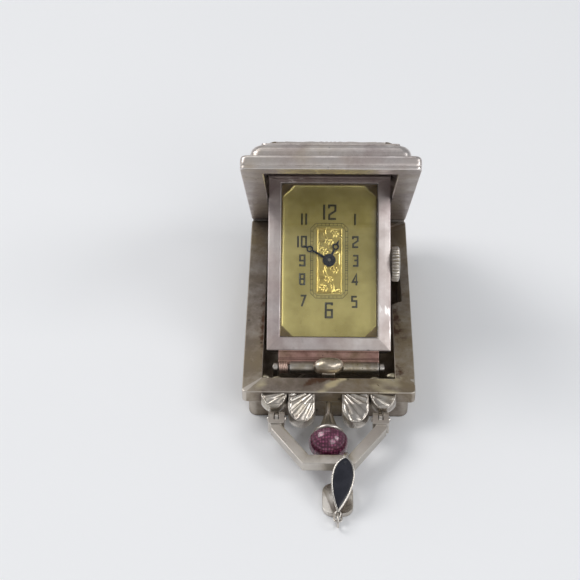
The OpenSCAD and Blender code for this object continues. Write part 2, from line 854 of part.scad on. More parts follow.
module hour_wheel() {
    color("gold") in_works() difference() {
        union() {
            translate([0, 0, -1.06]) linear_extrude(0.12) teeth(32, 1.44, 0.12);
            translate([0, 0, -1.06]) cylinder(r = 0.42, h = 0.72);
        }
        translate([0, 0, -3]) cylinder(r = 0.32, h = 4);
    }
}

module bridge_screws() {
    color("steelblue") in_works() for (c = [[6, -10], [-6.4, -10.2], [6.2, -3], [-6.2, 0.6],
        [-5.6, 8.2], [6.5, 0.6], [-1.2, 10.4]])
        translate([c[0], c[1], -bridge_bottom - 0.16]) difference() {
            cylinder(r = 0.4, h = 0.16);
            translate([-0.5, -0.06, -0.01]) cube([1, 0.12, 0.07]);
        }
}

tray();
hinge_ears();
watch_hinge_pin();
torsion_spring();
lid();
lid_relief();
lid_hinge_pin();
heel_barrel();
heel_plate();
catch_head();
push_rod();
pusher_spring();
lotus_cap();
bead_collar();
enamel_bead();
inner_petals();
outer_petals();
bow_lugs();
bow();
bow_pins();
leaf_loop();
leaf_frame();
leaf_enamel();
jump_ring();
end_link();
bezel();
crystal();
case_band();
case_back();
dial();
dial_markings();
hour_hand();
minute_hand();
crown();
stem();
winding_pinion();
main_plate();
barrel_bridge();
train_bridge();
balance_cock();
barrel();
ratchet_wheel();
crown_wheel();
click();
centre_wheel();
third_wheel();
fourth_wheel();
escape_wheel();
pallet_fork();
balance_wheel();
hairspring();
cannon_pinion();
minute_wheel();
hour_wheel();
bridge_screws();
movement_ring();
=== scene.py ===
"""Looks of an oblong fob watch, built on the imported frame.

Every piece is worked out in millimetres in the frame of its own sub-assembly (case, lid, watch
head, dial or leaf), carried into the shared frame in metres, and tied to a body of the part.
"""

import json
import logging
import math
from dataclasses import dataclass
from enum import Enum
from typing import Any, Callable, Optional, Sequence, Union

import bmesh
import bpy
import numpy as np
from mathutils import Matrix, Vector

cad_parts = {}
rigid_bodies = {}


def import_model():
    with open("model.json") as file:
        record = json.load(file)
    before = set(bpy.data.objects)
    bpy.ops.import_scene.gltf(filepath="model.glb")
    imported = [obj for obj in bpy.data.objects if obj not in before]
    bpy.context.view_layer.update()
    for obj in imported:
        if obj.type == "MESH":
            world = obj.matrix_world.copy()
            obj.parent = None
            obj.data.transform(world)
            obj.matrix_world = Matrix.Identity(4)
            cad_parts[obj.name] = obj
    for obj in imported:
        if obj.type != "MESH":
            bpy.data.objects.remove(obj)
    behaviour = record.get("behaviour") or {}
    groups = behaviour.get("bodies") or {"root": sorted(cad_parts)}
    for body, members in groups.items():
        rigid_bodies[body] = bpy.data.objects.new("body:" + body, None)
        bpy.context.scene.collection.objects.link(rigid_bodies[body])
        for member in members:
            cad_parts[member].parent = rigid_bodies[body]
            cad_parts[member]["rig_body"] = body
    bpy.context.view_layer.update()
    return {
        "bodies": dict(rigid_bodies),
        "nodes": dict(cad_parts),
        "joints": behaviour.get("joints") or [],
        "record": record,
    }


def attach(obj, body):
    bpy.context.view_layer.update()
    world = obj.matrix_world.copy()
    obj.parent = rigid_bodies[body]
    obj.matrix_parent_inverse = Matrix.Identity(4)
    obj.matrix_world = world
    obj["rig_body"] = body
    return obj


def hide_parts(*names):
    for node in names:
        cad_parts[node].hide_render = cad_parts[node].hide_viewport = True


log = logging.getLogger("fob_watch")
MM = 0.001
TURN = 2 * math.pi
TINY = 1e-9
CASE_HALF = 12.0
CASE_LONG = 36.6
KNUCKLE_RADIUS = 0.8
BEAD_RADIUS = 2.7
Array = np.ndarray
Wire = Union[float, Sequence[float], bpy.types.NodeSocket]
Sockets = bpy.types.bpy_prop_collection


class Body(str, Enum):
    """Moving bodies of the part that a piece can ride on."""

    CASE = "case"
    LID = "lid"
    HEAD = "watch_head"
    PUSH = "push_piece"
    LEAF = "leaf"
    CROWN = "crown"
    MINUTE = "minute_hand"
    HOUR = "hour_hand"


# ---------------------------------------------------------------- geometry kit


@dataclass(frozen=True)
class Place:
    """A frame turned about X: its origin in mm in the shared frame, and its tilt in degrees."""

    origin: tuple[float, float, float] = (0.0, 0.0, 0.0)
    tilt: float = 0.0

    def carry(self, points: Array) -> Array:
        """Turns points by the tilt, then shifts them by the origin.

        Args:
            points: array (..., 3) in mm in this frame.
        Returns:
            The same points in mm in the shared frame.
        """
        c, s = math.cos(math.radians(self.tilt)), math.sin(math.radians(self.tilt))
        p = np.asarray(points, float)
        turned = np.stack([p[..., 0], p[..., 1] * c - p[..., 2] * s, p[..., 1] * s + p[..., 2] * c], -1)
        return turned + np.array(self.origin)


@dataclass
class Solid:
    """Vertices in mm and faces of one or more closed surfaces."""

    points: Array
    faces: list

    def moved(self, shift: Sequence[float]) -> "Solid":
        """Returns the solid shifted by a vector in mm."""
        return Solid(self.points + np.array(shift, float), self.faces)

    def mirrored(self) -> "Solid":
        """Returns the solid mirrored in x = 0, with its faces turned round."""
        return Solid(self.points * np.array([-1.0, 1.0, 1.0]), [tuple(reversed(f)) for f in self.faces])


def join(*solids: Solid) -> Solid:
    """Puts solids side by side in one.

    Args:
        solids: the solids to join.
    Returns:
        One solid with the points and faces of all.
    """
    offsets = np.cumsum([0] + [len(s.points) for s in solids[:-1]])
    faces = [tuple(int(i) + int(o) for i in f) for s, o in zip(solids, offsets) for f in s.faces]
    return Solid(np.concatenate([s.points for s in solids]), faces)


def grid_faces(rows: int, cols: int, wrap: bool) -> list:
    """Quads of a grid of points, row by row.

    Args:
        rows: number of rows.
        cols: number of points in a row.
        wrap: whether the last column joins the first.
    Returns:
        List of four-index faces.
    """
    span = cols if wrap else cols - 1
    r, c = np.meshgrid(np.arange(rows - 1), np.arange(span), indexing="ij")
    a, b = r * cols + c, r * cols + (c + 1) % cols
    return np.stack([a, b, b + cols, a + cols], -1).reshape(-1, 4).tolist()


def skin(rings: Array, closed: bool = False) -> Solid:
    """Surface through rings of points, each ring closed; the ends are filled.

    Args:
        rings: array (rings, points, 3).
        closed: whether the last ring joins the first, as on a hoop.
    Returns:
        A closed solid.
    """
    stack = np.concatenate([rings, rings[:1]]) if closed else rings
    m, n = stack.shape[:2]
    faces = grid_faces(m, n, True)
    if not closed:
        faces += [tuple(range(n))[::-1], tuple(range((m - 1) * n, m * n))]
    return Solid(stack.reshape(-1, 3), faces)


def sheet_solid(top: Array, bottom: Array) -> Solid:
    """Closed solid between two grids of the same size: faces, and walls along the four borders.

    Args:
        top: array (rows, cols, 3).
        bottom: array (rows, cols, 3).
    Returns:
        A closed solid.
    """
    rows, cols = top.shape[:2]
    n = rows * cols
    up = grid_faces(rows, cols, False)
    down = [[i + n for i in reversed(f)] for f in up]
    index = np.arange(n).reshape(rows, cols)
    rim = np.concatenate([index[0, :-1], index[:-1, -1], index[-1, :0:-1], index[:0:-1, 0]])
    after = np.roll(rim, -1)
    wall = np.stack([after, rim, rim + n, after + n], -1).tolist()
    return Solid(np.concatenate([top.reshape(-1, 3), bottom.reshape(-1, 3)]), up + down + wall)


def soften(points: Sequence[Sequence[float]], radius: float, steps: int = 3) -> Array:
    """Rounds the inner corners of an open outline with a curve that starts and ends on its sides.

    One more point just beyond each end of a curve keeps the flat sides flat when shaded smooth.

    Args:
        points: outline corners.
        radius: length cut from each side of a corner.
        steps: parts of each rounded corner.
    Returns:
        Array of outline points.
    """
    p = np.asarray(points, float)
    before, corner, after = p[:-2], p[1:-1], p[2:]
    back, ahead = before - corner, after - corner
    lb, la = np.linalg.norm(back, axis=1), np.linalg.norm(ahead, axis=1)
    cut = np.minimum(radius, 0.45 * np.minimum(lb, la))[:, None]
    a, b = corner + back / lb[:, None] * cut, corner + ahead / la[:, None] * cut
    t = np.linspace(0, 1, steps + 1)[None, :, None]
    curve = a[:, None] * (1 - t) ** 2 + corner[:, None] * 2 * t * (1 - t) + b[:, None] * t**2
    first = a + back / lb[:, None] * np.minimum(0.06, 0.04 * lb)[:, None]
    last = b + ahead / la[:, None] * np.minimum(0.06, 0.04 * la)[:, None]
    curve = np.concatenate([first[:, None], curve, last[:, None]], 1)
    return np.concatenate([p[:1], curve.reshape(-1, p.shape[1]), p[-1:]])


def rounded_rings(x_half: Array, y_low: Array, y_high: Array, radius: Array, corner: int, side: int) -> Array:
    """Rounded rectangles, one for each entry of the arrays, with matching points.

    Each corner is a quarter circle of its radius, and each side is divided evenly.

    Args:
        x_half: half widths.
        y_low: lower ends.
        y_high: upper ends.
        radius: corner radii.
        corner: parts of each corner.
        side: points between two corners.
    Returns:
        Array (rings, points, 2).
    """
    x_half, y_low, y_high, radius = np.broadcast_arrays(*np.atleast_1d(x_half, y_low, y_high, radius))
    turn = np.linspace(0, math.pi / 2, corner + 1)
    arcs = []
    for k, (sx, y) in enumerate([(1, y_high), (-1, y_high), (-1, y_low), (1, y_low)]):
        a = turn + k * math.pi / 2
        cx = sx * (x_half - radius)
        cy = y - radius * (1 if k < 2 else -1)
        arcs.append(np.stack([cx[:, None] + radius[:, None] * np.cos(a),
                              cy[:, None] + radius[:, None] * np.sin(a)], -1))
    t = np.linspace(0, 1, side + 2)[1:-1][None, :, None]
    parts = []
    for k, arc in enumerate(arcs):
        start, end = arc[:, -1:], arcs[(k + 1) % 4][:, :1]
        parts += [arc, start * (1 - t) + end * t]
    return np.concatenate(parts, 1)


@dataclass
class Moulding:
    """A profile of (inset, height, inset at the upper end, corner radius) carried round a rectangle.

    The outline at inset i is the rectangle shrunk by i on each side, but by its own inset at the
    upper end, with its own corner radius.
    """

    x_half: float
    y_low: float
    y_high: float
    corner: int = 6
    side: int = 60

    def rings(self, profile: Array) -> Array:
        """Rings of the moulding.

        Args:
            profile: array (n, 4) of inset, height, inset at the upper end, and corner radius.
        Returns:
            Array (n, points, 3).
        """
        inset, height, far, radius = profile.T
        x, low, high = self.x_half - inset, self.y_low + inset, self.y_high - far
        limit = np.minimum(x, (high - low) / 2) * 0.999
        plan = rounded_rings(x, low, high, np.clip(radius, 0.01, np.maximum(limit, 0.01)), self.corner,
                             self.side)
        level = np.broadcast_to(height[:, None, None], plan.shape[:2] + (1,))
        return np.concatenate([plan, level], -1)


def lathe(profile: Sequence[Sequence[float]], steps: int = 64, flute: Optional[Callable] = None) -> Solid:
    """Turns a profile of (distance along, radius) about the X axis.

    Args:
        profile: outline from one end to the other.
        steps: divisions round the axis.
        flute: function of distance and angle that gives a factor for the radius.
    Returns:
        A closed solid along X.
    """
    p = np.asarray(profile, float)
    a = round_steps(steps)
    along, r = np.meshgrid(p[:, 0], a, indexing="ij")[0], np.broadcast_to(p[:, 1:2], (len(p), steps))
    angle = np.broadcast_to(a, (len(p), steps))
    if flute is not None:
        r = r * flute(along, angle)
    return skin(np.stack([along, r * np.cos(angle), r * np.sin(angle)], -1))


def along_y(solid: Solid, centre: Sequence[float]) -> Solid:
    """Turns a lathe solid so that its axis runs towards -Y from a centre."""
    p = solid.points
    return Solid(np.stack([p[:, 1], -p[:, 0], p[:, 2]], -1) + np.array(centre, float), solid.faces)


def upright(solid: Solid, centre: Sequence[float]) -> Solid:
    """Turns a lathe solid so that its axis runs towards +Z from a centre."""
    p = solid.points
    return Solid(np.stack([p[:, 1], p[:, 2], p[:, 0]], -1) + np.array(centre, float), solid.faces)


def tube(path: Array, radius: Array, sides: int = 12, closed: bool = False) -> Solid:
    """Round section carried along a path, with a frame kept square to it by projection.

    Args:
        path: array (n, 3).
        radius: one radius, or one for each point.
        sides: points of the section.
        closed: whether the path is a loop.
    Returns:
        A closed solid.
    """
    ahead = np.roll(path, -1, 0) - np.roll(path, 1, 0)
    if not closed:
        ahead[0], ahead[-1] = path[1] - path[0], path[-1] - path[-2]
    ahead /= np.linalg.norm(ahead, axis=1)[:, None]
    spread = path - path.mean(0)
    ref = np.linalg.svd(spread, full_matrices=False)[2][2]
    u = ref - ahead * (ahead @ ref)[:, None]
    u /= np.maximum(np.linalg.norm(u, axis=1), TINY)[:, None]
    v = np.cross(ahead, u)
    a = round_steps(sides)
    r = np.broadcast_to(np.asarray(radius, float).reshape(-1, 1, 1), (len(path), 1, 1))
    rings = path[:, None] + r * (u[:, None] * np.cos(a)[None, :, None] + v[:, None]
                                 * np.sin(a)[None, :, None])
    return skin(rings, closed)


def ribbon(line: Sequence[Sequence[float]], width: float, low: float, high: float,
           closed: bool = False) -> Solid:
    """Flat stroke of even width along a line in the plane, mitred at its corners.

    Args:
        line: points of the middle of the stroke.
        width: width of the stroke.
        low: height of its underside.
        high: height of its top.
        closed: whether the line is a loop.
    Returns:
        A closed solid.
    """
    p = np.asarray(line, float)
    step = np.roll(p, -1, 0) - p
    step /= np.maximum(np.linalg.norm(step, axis=1), TINY)[:, None]
    before = np.roll(step, 1, 0)
    if not closed:
        before[0], step[-1] = step[0], step[-2]
    normal = np.stack([-(step + before)[:, 1], (step + before)[:, 0]], -1)
    normal /= np.maximum(np.linalg.norm(normal, axis=1), TINY)[:, None]
    lean = np.clip((normal * np.stack([-step[:, 1], step[:, 0]], -1)).sum(1), 0.5, 1)[:, None]
    left, right = p + normal * width / 2 / lean, p - normal * width / 2 / lean
    edge = 0.2 * min(width, high - low)
    rings = []
    for q, z in ((left, low), (left, high - edge), (left - normal * edge, high),
                 (right + normal * edge, high), (right, high - edge), (right, low)):
        rings.append(np.concatenate([q, np.full((len(q), 1), z)], 1))
    return skin(np.stack(rings, 1), closed)


def bumps(points: Array, scale: float, seed: int) -> Array:
    """Smooth uneven field: the mean of eight sine waves in fixed random directions.

    Args:
        points: array (..., 3) in mm.
        scale: waves for each mm.
        seed: seed of the directions.
    Returns:
        Array of values between about -1 and 1.
    """
    rng = np.random.default_rng(seed)
    k = rng.normal(size=(8, 3)) * scale * 2
    shift = rng.uniform(0, 6.28, 8)
    return np.sin(points @ k.T + shift).sum(-1) / 4


def round_steps(count: int) -> Array:
    """Angles of a full turn in even steps, without the last, which is the first again."""
    return np.linspace(0, TURN, count, endpoint=False)


def power(value: Array, exponent: float) -> Array:
    """Power of the size of a value, with its own sign."""
    return np.sign(value) * np.abs(value) ** exponent


def bell(value: Array, centre: float, width: float) -> Array:
    """Rounded hill of height 1 about a centre, by the square of the distance over the width."""
    return np.exp(-(((value - centre) / width) ** 2))


def ramp(value: Array, low: float, high: float) -> Array:
    """Smooth rise from 0 at low to 1 at high."""
    t = np.clip((value - low) / (high - low), 0, 1)
    return t * t * (3 - 2 * t)


def smooth(mesh: bpy.types.Mesh) -> None:
    """Shades every face of a mesh smooth."""
    mesh.polygons.foreach_set("use_smooth", [True] * len(mesh.polygons))


def stand(name: str, data: bpy.types.ID) -> bpy.types.Object:
    """Puts data in the scene as an object.

    Args:
        name: name of the object.
        data: a mesh, lamp or camera.
    Returns:
        The object.
    """
    item = bpy.data.objects.new(name, data)
    bpy.context.scene.collection.objects.link(item)
    return item


@dataclass
class Workshop:
    """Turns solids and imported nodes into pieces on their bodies."""

    frame: dict

    def piece(self, name: str, solid: Solid, place: Place, finish: bpy.types.Material, body: Body,
              replaces: Sequence[str] = (), slot: Optional[str] = None, sharp: float = 38.0,
              marks: Optional[dict] = None) -> bpy.types.Object:
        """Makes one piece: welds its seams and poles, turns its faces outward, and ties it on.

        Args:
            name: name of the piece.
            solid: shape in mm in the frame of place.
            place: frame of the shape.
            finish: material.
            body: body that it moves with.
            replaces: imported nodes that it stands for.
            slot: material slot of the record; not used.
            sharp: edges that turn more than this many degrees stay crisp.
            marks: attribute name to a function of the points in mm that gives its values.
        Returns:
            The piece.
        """
        mesh = bpy.data.meshes.new(name)
        mesh.from_pydata((place.carry(solid.points) * MM).tolist(), [],
                         [list(map(int, f)) for f in solid.faces])
        work = bmesh.new()
        work.from_mesh(mesh)
        bmesh.ops.remove_doubles(work, verts=work.verts, dist=2e-6)
        bmesh.ops.dissolve_degenerate(work, edges=work.edges, dist=1e-6)
        bmesh.ops.recalc_face_normals(work, faces=work.faces)
        work.to_mesh(mesh)
        work.free()
        smooth(mesh)
        mesh.set_sharp_from_angle(angle=math.radians(sharp))
        spots = np.zeros(len(mesh.vertices) * 3)
        mesh.vertices.foreach_get("co", spots)
        for label, rule in (marks or {}).items():
            values = mesh.attributes.new(label, "FLOAT", "POINT")
            values.data.foreach_set("value", np.asarray(rule(spots.reshape(-1, 3) / MM), np.float32))
        mesh.materials.append(finish)
        item = stand(name, mesh)
        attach(item, body.value)
        if replaces:
            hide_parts(*replaces)
        log.info("%s: %d faces on %s", name, len(mesh.polygons), body.value)
        return item

    def eased(self, node: str, finish: bpy.types.Material, bevel: float,
              segments: int = 2) -> bpy.types.Object:
        """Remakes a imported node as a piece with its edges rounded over, as a file leaves them.

        Args:
            node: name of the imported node.
            finish: material.
            bevel: width of the rounded edges in mm.
            segments: parts of each rounded edge.
        Returns:
            The piece.
        """
        source = self.frame["nodes"][node]
        mesh = source.data.copy()
        mesh.name = node + "_eased"
        work = bmesh.new()
        work.from_mesh(mesh)
        bmesh.ops.remove_doubles(work, verts=work.verts, dist=1e-6)
        bmesh.ops.dissolve_limit(work, angle_limit=math.radians(2), verts=work.verts, edges=work.edges)
        work.to_mesh(mesh)
        work.free()
        smooth(mesh)
        mesh.set_sharp_from_angle(angle=math.radians(40))
        mesh.materials.clear()
        mesh.materials.append(finish)
        item = stand(node + "_eased", mesh)
        ease = item.modifiers.new("eased_edges", "BEVEL")
        ease.width, ease.segments = bevel * MM, segments
        ease.limit_method, ease.angle_limit = "ANGLE", math.radians(32)
        ease.harden_normals = False
        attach(item, source["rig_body"])
        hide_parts(node)
        log.info("%s eased by %.2f mm", node, bevel)
        return item

    def dress(self, finish: bpy.types.Material, *nodes: str) -> None:
        """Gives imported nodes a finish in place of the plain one.

        Args:
            finish: material.
            nodes: names of the nodes.
        """
        for node in nodes:
            mesh = self.frame["nodes"][node].data
            mesh.materials.clear()
            mesh.materials.append(finish)
        log.info("%s on %d nodes", finish.name, len(nodes))


# ---------------------------------------------------------------- finishes


class Graph:
    """Adds and joins nodes in one node tree."""

    def __init__(self, tree: bpy.types.NodeTree) -> None:
        """Args: tree: the node tree that nodes are added to."""
        self.tree = tree

    def add(self, kind: str, inputs: Optional[dict] = None,
            **settings: Any) -> bpy.types.Node:
        """Adds a node.

        Args:
            kind: node type without its ShaderNode prefix.
            inputs: socket name or number to a value, or to a socket that is linked.
            settings: properties of the node.
        Returns:
            The node.
        """
        node = self.tree.nodes.new("ShaderNode" + kind)
        for key, value in settings.items():
            setattr(node, key, value)
        for key, value in (inputs or {}).items():
            if isinstance(value, bpy.types.NodeSocket):
                self.tree.links.new(value, node.inputs[key])
            else:
                node.inputs[key].default_value = value
        return node

    def maths(self, operation: str, a: Wire, b: Wire = 0.0,
              clamp: bool = False) -> bpy.types.NodeSocket:
        """Returns the value of one operation on two values or sockets."""
        return self.add("Math", {0: a, 1: b}, operation=operation, use_clamp=clamp).outputs[0]

    def times(self, a: Wire, b: Wire, clamp: bool = False) -> bpy.types.NodeSocket:
        """Returns a product."""
        return self.maths("MULTIPLY", a, b, clamp)

    def plus(self, a: Wire, b: Wire) -> bpy.types.NodeSocket:
        """Returns a sum."""
        return self.maths("ADD", a, b)

    def minus(self, a: Wire, b: Wire) -> bpy.types.NodeSocket:
        """Returns a difference."""
        return self.maths("SUBTRACT", a, b)

    def span(self, value: Wire, low: float, high: float, out_low: float = 0.0,
             out_high: float = 1.0) -> bpy.types.NodeSocket:
        """Maps a value smoothly from one span to another, held at its ends.

        Args:
            value: the value or socket.
            low: start of the span that is read.
            high: end of the span that is read.
            out_low: value given at low.
            out_high: value given at high.
        Returns:
            The mapped value.
        """
        node = self.add("MapRange", {0: value, 1: low, 2: high, 3: out_low, 4: out_high},
                        interpolation_type="SMOOTHSTEP")
        return node.outputs[0]

    def blend(self, factor: Wire, a: Wire, b: Wire) -> bpy.types.NodeSocket:
        """Mixes two colours.

        Args:
            factor: share of the second, a value or socket.
            a: first colour or socket.
            b: second colour or socket.
        Returns:
            The mixed colour.
        """
        node = self.add("Mix", data_type="RGBA")
        for key, value in ((0, factor), (6, a), (7, b)):
            if isinstance(value, bpy.types.NodeSocket):
                self.tree.links.new(value, node.inputs[key])
            else:
                node.inputs[key].default_value = value if key == 0 else (*value[:3], 1.0)
        return node.outputs[2]

    def feed(self, shader: bpy.types.Node, values: dict) -> None:
        """Links sockets to the inputs of a shader. Args: shader: the shader. values: input name to socket."""
        for name, socket in values.items():
            self.tree.links.new(socket, shader.inputs[name])

    def effect(self, tree: bpy.types.NodeTree, where: Optional[bpy.types.NodeSocket] = None,
               **values: Wire) -> bpy.types.Node:
        """Adds a shared effect.

        Args:
            tree: node group of the effect.
            where: socket of the position, on an effect that takes one.
            values: values of its other inputs, by name.
        Returns:
            The group node.
        """
        node = self.add("Group", values, node_tree=tree)
        if where is not None:
            self.tree.links.new(where, node.inputs["Vector"])
        return node

    def noise(self, vector: Wire, scale: float, detail: float = 3.0,
              rough: float = 0.55) -> bpy.types.NodeSocket:
        """Returns the value of a noise texture."""
        return self.add("TexNoise",
                        {"Vector": vector, "Scale": scale, "Detail": detail, "Roughness": rough}).outputs[0]


def group(name: str, inputs: Sequence[tuple], outputs: Sequence[tuple], fill: Callable) -> bpy.types.NodeTree:
    """Makes a shared node group.

    Args:
        name: name of the group.
        inputs: (name, socket type, default) of each input.
        outputs: (name, socket type) of each output.
        fill: function of the graph, the input sockets and the output node's sockets.
    Returns:
        The group.
    """
    tree = bpy.data.node_groups.new(name, "ShaderNodeTree")
    for label, kind, default in inputs:
        socket = tree.interface.new_socket(label, in_out="INPUT", socket_type="NodeSocket" + kind)
        if default is not None:
            socket.default_value = default
    for label, kind in outputs:
        tree.interface.new_socket(label, in_out="OUTPUT", socket_type="NodeSocket" + kind)
    start, end = tree.nodes.new("NodeGroupInput"), tree.nodes.new("NodeGroupOutput")
    fill(Graph(tree), start.outputs, end.inputs)
    return tree


class Effects:
    """Shared effects of age and of light: film, polish on edges, dark deposits with painted shade in
    recesses, and fine scratches.
    """

    def __init__(self) -> None:
        """Builds the node groups."""
        self.film = group("tarnish_film",
                          [("Vector", "Vector", None), ("Scale", "Float", 300.0), ("Cover", "Float", 0.5)],
                          [("Mask", "Float"), ("Spots", "Float"), ("Drift", "Float")], self._film)
        self.polish = group("edge_polish", [("Vector", "Vector", None)], [("Mask", "Float")], self._polish)
        self.grime = group("recess_grime_and_shade", [("Reach", "Float", 0.0006)], [("Mask", "Float")], self._grime)
        self.scratches = group("fine_scratches", [("Vector", "Vector", None), ("Scale", "Float", 900.0)],
                               [("Height", "Float")], self._scratches)

    @staticmethod
    def _film(g: Graph, src: Sockets, out: Sockets) -> None:
        """Film is broad uneven noise set against the cover, spots are small dark cells, drift is slow change.

        Args:
            g: graph of the group.
            src: its input sockets.
            out: sockets that it puts out.
        """
        def scaled(factor: float) -> bpy.types.NodeSocket:
            """Returns the pattern scale times a factor."""
            return g.times(src["Scale"], factor)
        broad = g.add("TexNoise", {"Vector": src["Vector"], "Scale": scaled(1.0), "Detail": 9.0,
                                   "Roughness": 0.66, "Distortion": 0.15}).outputs[0]
        low = g.minus(0.78, g.times(src["Cover"], 0.5))
        mask = g.times(g.minus(broad, g.minus(low, 0.25)), 2.2, True)
        cells = g.add("TexVoronoi", {"Vector": src["Vector"], "Scale": scaled(2.6)}).outputs[0]
        patch = g.add("TexNoise", {"Vector": src["Vector"], "Scale": scaled(0.7), "Detail": 2.0}).outputs[0]
        spots = g.times(g.span(cells, 0.05, 0.2, 1.0, 0.0), g.span(patch, 0.5, 0.62))
        drift = g.add("TexNoise", {"Vector": src["Vector"], "Scale": scaled(0.35), "Detail": 2.0}).outputs[0]
        for label, value in (("Mask", mask), ("Spots", spots), ("Drift", g.span(drift, 0.35, 0.65))):
            g.tree.links.new(value, out[label])

    @staticmethod
    def _polish(g: Graph, src: Sockets, out: Sockets) -> None:
        """Polish is where the surface is convex, broken up by noise.

        Args:
            g: graph of the group.
            src: its input sockets.
            out: sockets that it puts out.
        """
        convex = g.add("NewGeometry").outputs["Pointiness"]
        chips = g.noise(src["Vector"], 1400.0, 4.0)
        value = g.plus(g.span(convex, 0.505, 0.56), g.times(g.minus(chips, 0.5), 0.5))
        g.tree.links.new(g.times(value, g.span(convex, 0.5, 0.52), True), out["Mask"])

    @staticmethod
    def _grime(g: Graph, src: Sockets, out: Sockets) -> None:
        """Dark deposits and painted shade: dark where nearby surfaces close the sky off."""
        open_sky = g.add("AmbientOcclusion", {"Distance": src["Reach"]}, samples=6).outputs["AO"]
        g.tree.links.new(g.span(open_sky, 0.25, 0.85, 1.0, 0.0), out["Mask"])

    @staticmethod
    def _scratches(g: Graph, src: Sockets, out: Sockets) -> None:
        """Scratches are two noises drawn out along crossed directions, added.

        Args:
            g: graph of the group.
            src: its input sockets.
            out: sockets that it puts out.
        """
        parts = []
        for turn, stretch in ((0.5, (1.0, 0.06, 0.3)), (2.2, (1.0, 0.09, 0.3))):
            lay = g.add("Mapping", {"Vector": src["Vector"], "Rotation": (0.0, 0.0, turn),
                                    "Scale": stretch}).outputs[0]
            parts.append(g.add("TexNoise", {"Vector": lay, "Scale": src["Scale"], "Detail": 3.0}).outputs[0])
        g.tree.links.new(g.plus(parts[0], parts[1]), out["Height"])


@dataclass(frozen=True)
class Finish:
    """Start that every material shares."""

    name: str

    def start(self) -> tuple:
        """Makes an empty material.

        Returns:
            The material, its graph, its shader and the position on the piece.
        """
        mat = bpy.data.materials.new(self.name)
        mat.use_nodes = True
        g = Graph(mat.node_tree)
        return mat, g, mat.node_tree.nodes["Principled BSDF"], g.add("TexCoord").outputs["Object"]


@dataclass(frozen=True)
class OldSilver(Finish):
    """Silver with a film of tarnish, bright worn edges, and dark deposits with painted shade in its recesses.
    """

    metal: tuple = (0.74, 0.72, 0.69)
    film: tuple = (0.27, 0.225, 0.20)
    second: tuple = (0.33, 0.27, 0.16)
    # Dark colour for the tarnish spots, and for the painted shade in recesses.
    dirt: tuple = (0.045, 0.035, 0.028)
    cover: float = 0.5
    scale: float = 260.0
    rough: float = 0.3
    reach: float = 0.0008
    dent: float = 0.5
    patches: bool = False

    def make(self, effects: Effects) -> bpy.types.Material:
        """Builds the material.

        Args:
            effects: shared node groups.
        Returns:
            The material.
        """
        mat, g, shader, where = self.start()
        film = g.effect(effects.film, where, Scale=self.scale, Cover=self.cover)
        polish = g.effect(effects.polish, where)
        grime = g.effect(effects.grime, Reach=self.reach)
        scratches = g.effect(effects.scratches, where)
        worn = polish.outputs["Mask"]
        cover = g.times(film.outputs["Mask"], g.minus(1.0, g.times(worn, 0.85)))
        tint = g.blend(film.outputs["Drift"], self.film, self.second)
        colour = g.blend(cover, self.metal, tint)
        if self.patches:
            stain = g.add("Attribute", attribute_name="stain").outputs["Fac"]
            pale = g.add("Attribute", attribute_name="pale").outputs["Fac"]
            ragged = g.plus(stain, g.times(g.minus(g.noise(where, 1500.0, 5.0), 0.5), 0.9))
            colour = g.blend(g.span(pale, 0.3, 0.8), colour, (0.72, 0.64, 0.43))
            colour = g.blend(g.span(ragged, 0.35, 0.75), colour, (0.13, 0.075, 0.05))
        colour = g.blend(g.times(film.outputs["Spots"], 0.75), colour, self.dirt)
        colour = g.blend(g.times(worn, 0.7), colour, self.metal)
        # Painted shade with deposits: recesses darkened by ambient occlusion towards the dark colour;
        # roughness and metallic follow the same mask.
        colour = g.blend(g.times(grime.outputs["Mask"], 0.92), colour, self.dirt)
        rough = g.plus(self.rough, g.times(cover, 0.22))
        rough = g.plus(rough, g.times(grime.outputs["Mask"], 0.3))
        pits = g.minus(g.times(scratches.outputs["Height"], 0.6), film.outputs["Spots"])
        height = g.plus(pits, g.noise(where, 420.0, 2.0))
        bump = g.add("Bump", {"Height": height, "Strength": self.dent, "Distance": 0.00004})
        g.feed(shader, {"Base Color": colour, "Roughness": rough, "Normal": bump.outputs[0]})
        g.feed(shader, {"Metallic": g.minus(1.0, g.times(grime.outputs["Mask"], 0.6))})
        return mat


@dataclass(frozen=True)
class Gilding(Finish):
    """Frosted gilt metal, a little uneven in colour, with a fine grain."""

    light: tuple = (0.52, 0.42, 0.18)
    deep: tuple = (0.34, 0.27, 0.10)
    rough: float = 0.33
    grain: float = 2600.0
    depth: float = 0.25
    metallic: float = 1.0
    edged: bool = False

    def make(self, effects: Effects) -> bpy.types.Material:
        """Builds the material.

        Args:
            effects: shared node groups.
        Returns:
            The material.
        """
        mat, g, shader, where = self.start()
        cloud = g.noise(where, 170.0, 4.0)
        grain = g.noise(where, self.grain, 2.0)
        colour = g.blend(g.span(cloud, 0.35, 0.7), self.light, self.deep)
        film = g.effect(effects.film, where, Scale=500.0, Cover=0.15)
        colour = g.blend(g.times(film.outputs["Spots"], 0.35), colour, (0.22, 0.16, 0.07))
        # Painted shade with deposits: recesses darkened by ambient occlusion.
        grime = g.effect(effects.grime, Reach=0.00025)
        colour = g.blend(g.times(grime.outputs["Mask"], 0.7), colour, (0.12, 0.08, 0.03))
        # Painted reflection: the plate beyond the field's border is darkened, for the dark surroundings its
        # corners mirror.
        if self.edged:
            outer = g.add("Attribute", attribute_name="outer").outputs["Fac"]
            colour = g.blend(g.times(outer, 0.85), colour, (0.10, 0.055, 0.03))
        rough = g.plus(self.rough, g.times(cloud, 0.18))
        bump = g.add("Bump", {"Height": grain, "Strength": self.depth, "Distance": 0.00002})
        shader.inputs["Metallic"].default_value = self.metallic
        g.feed(shader, {"Base Color": colour, "Roughness": rough, "Normal": bump.outputs[0]})
        return mat


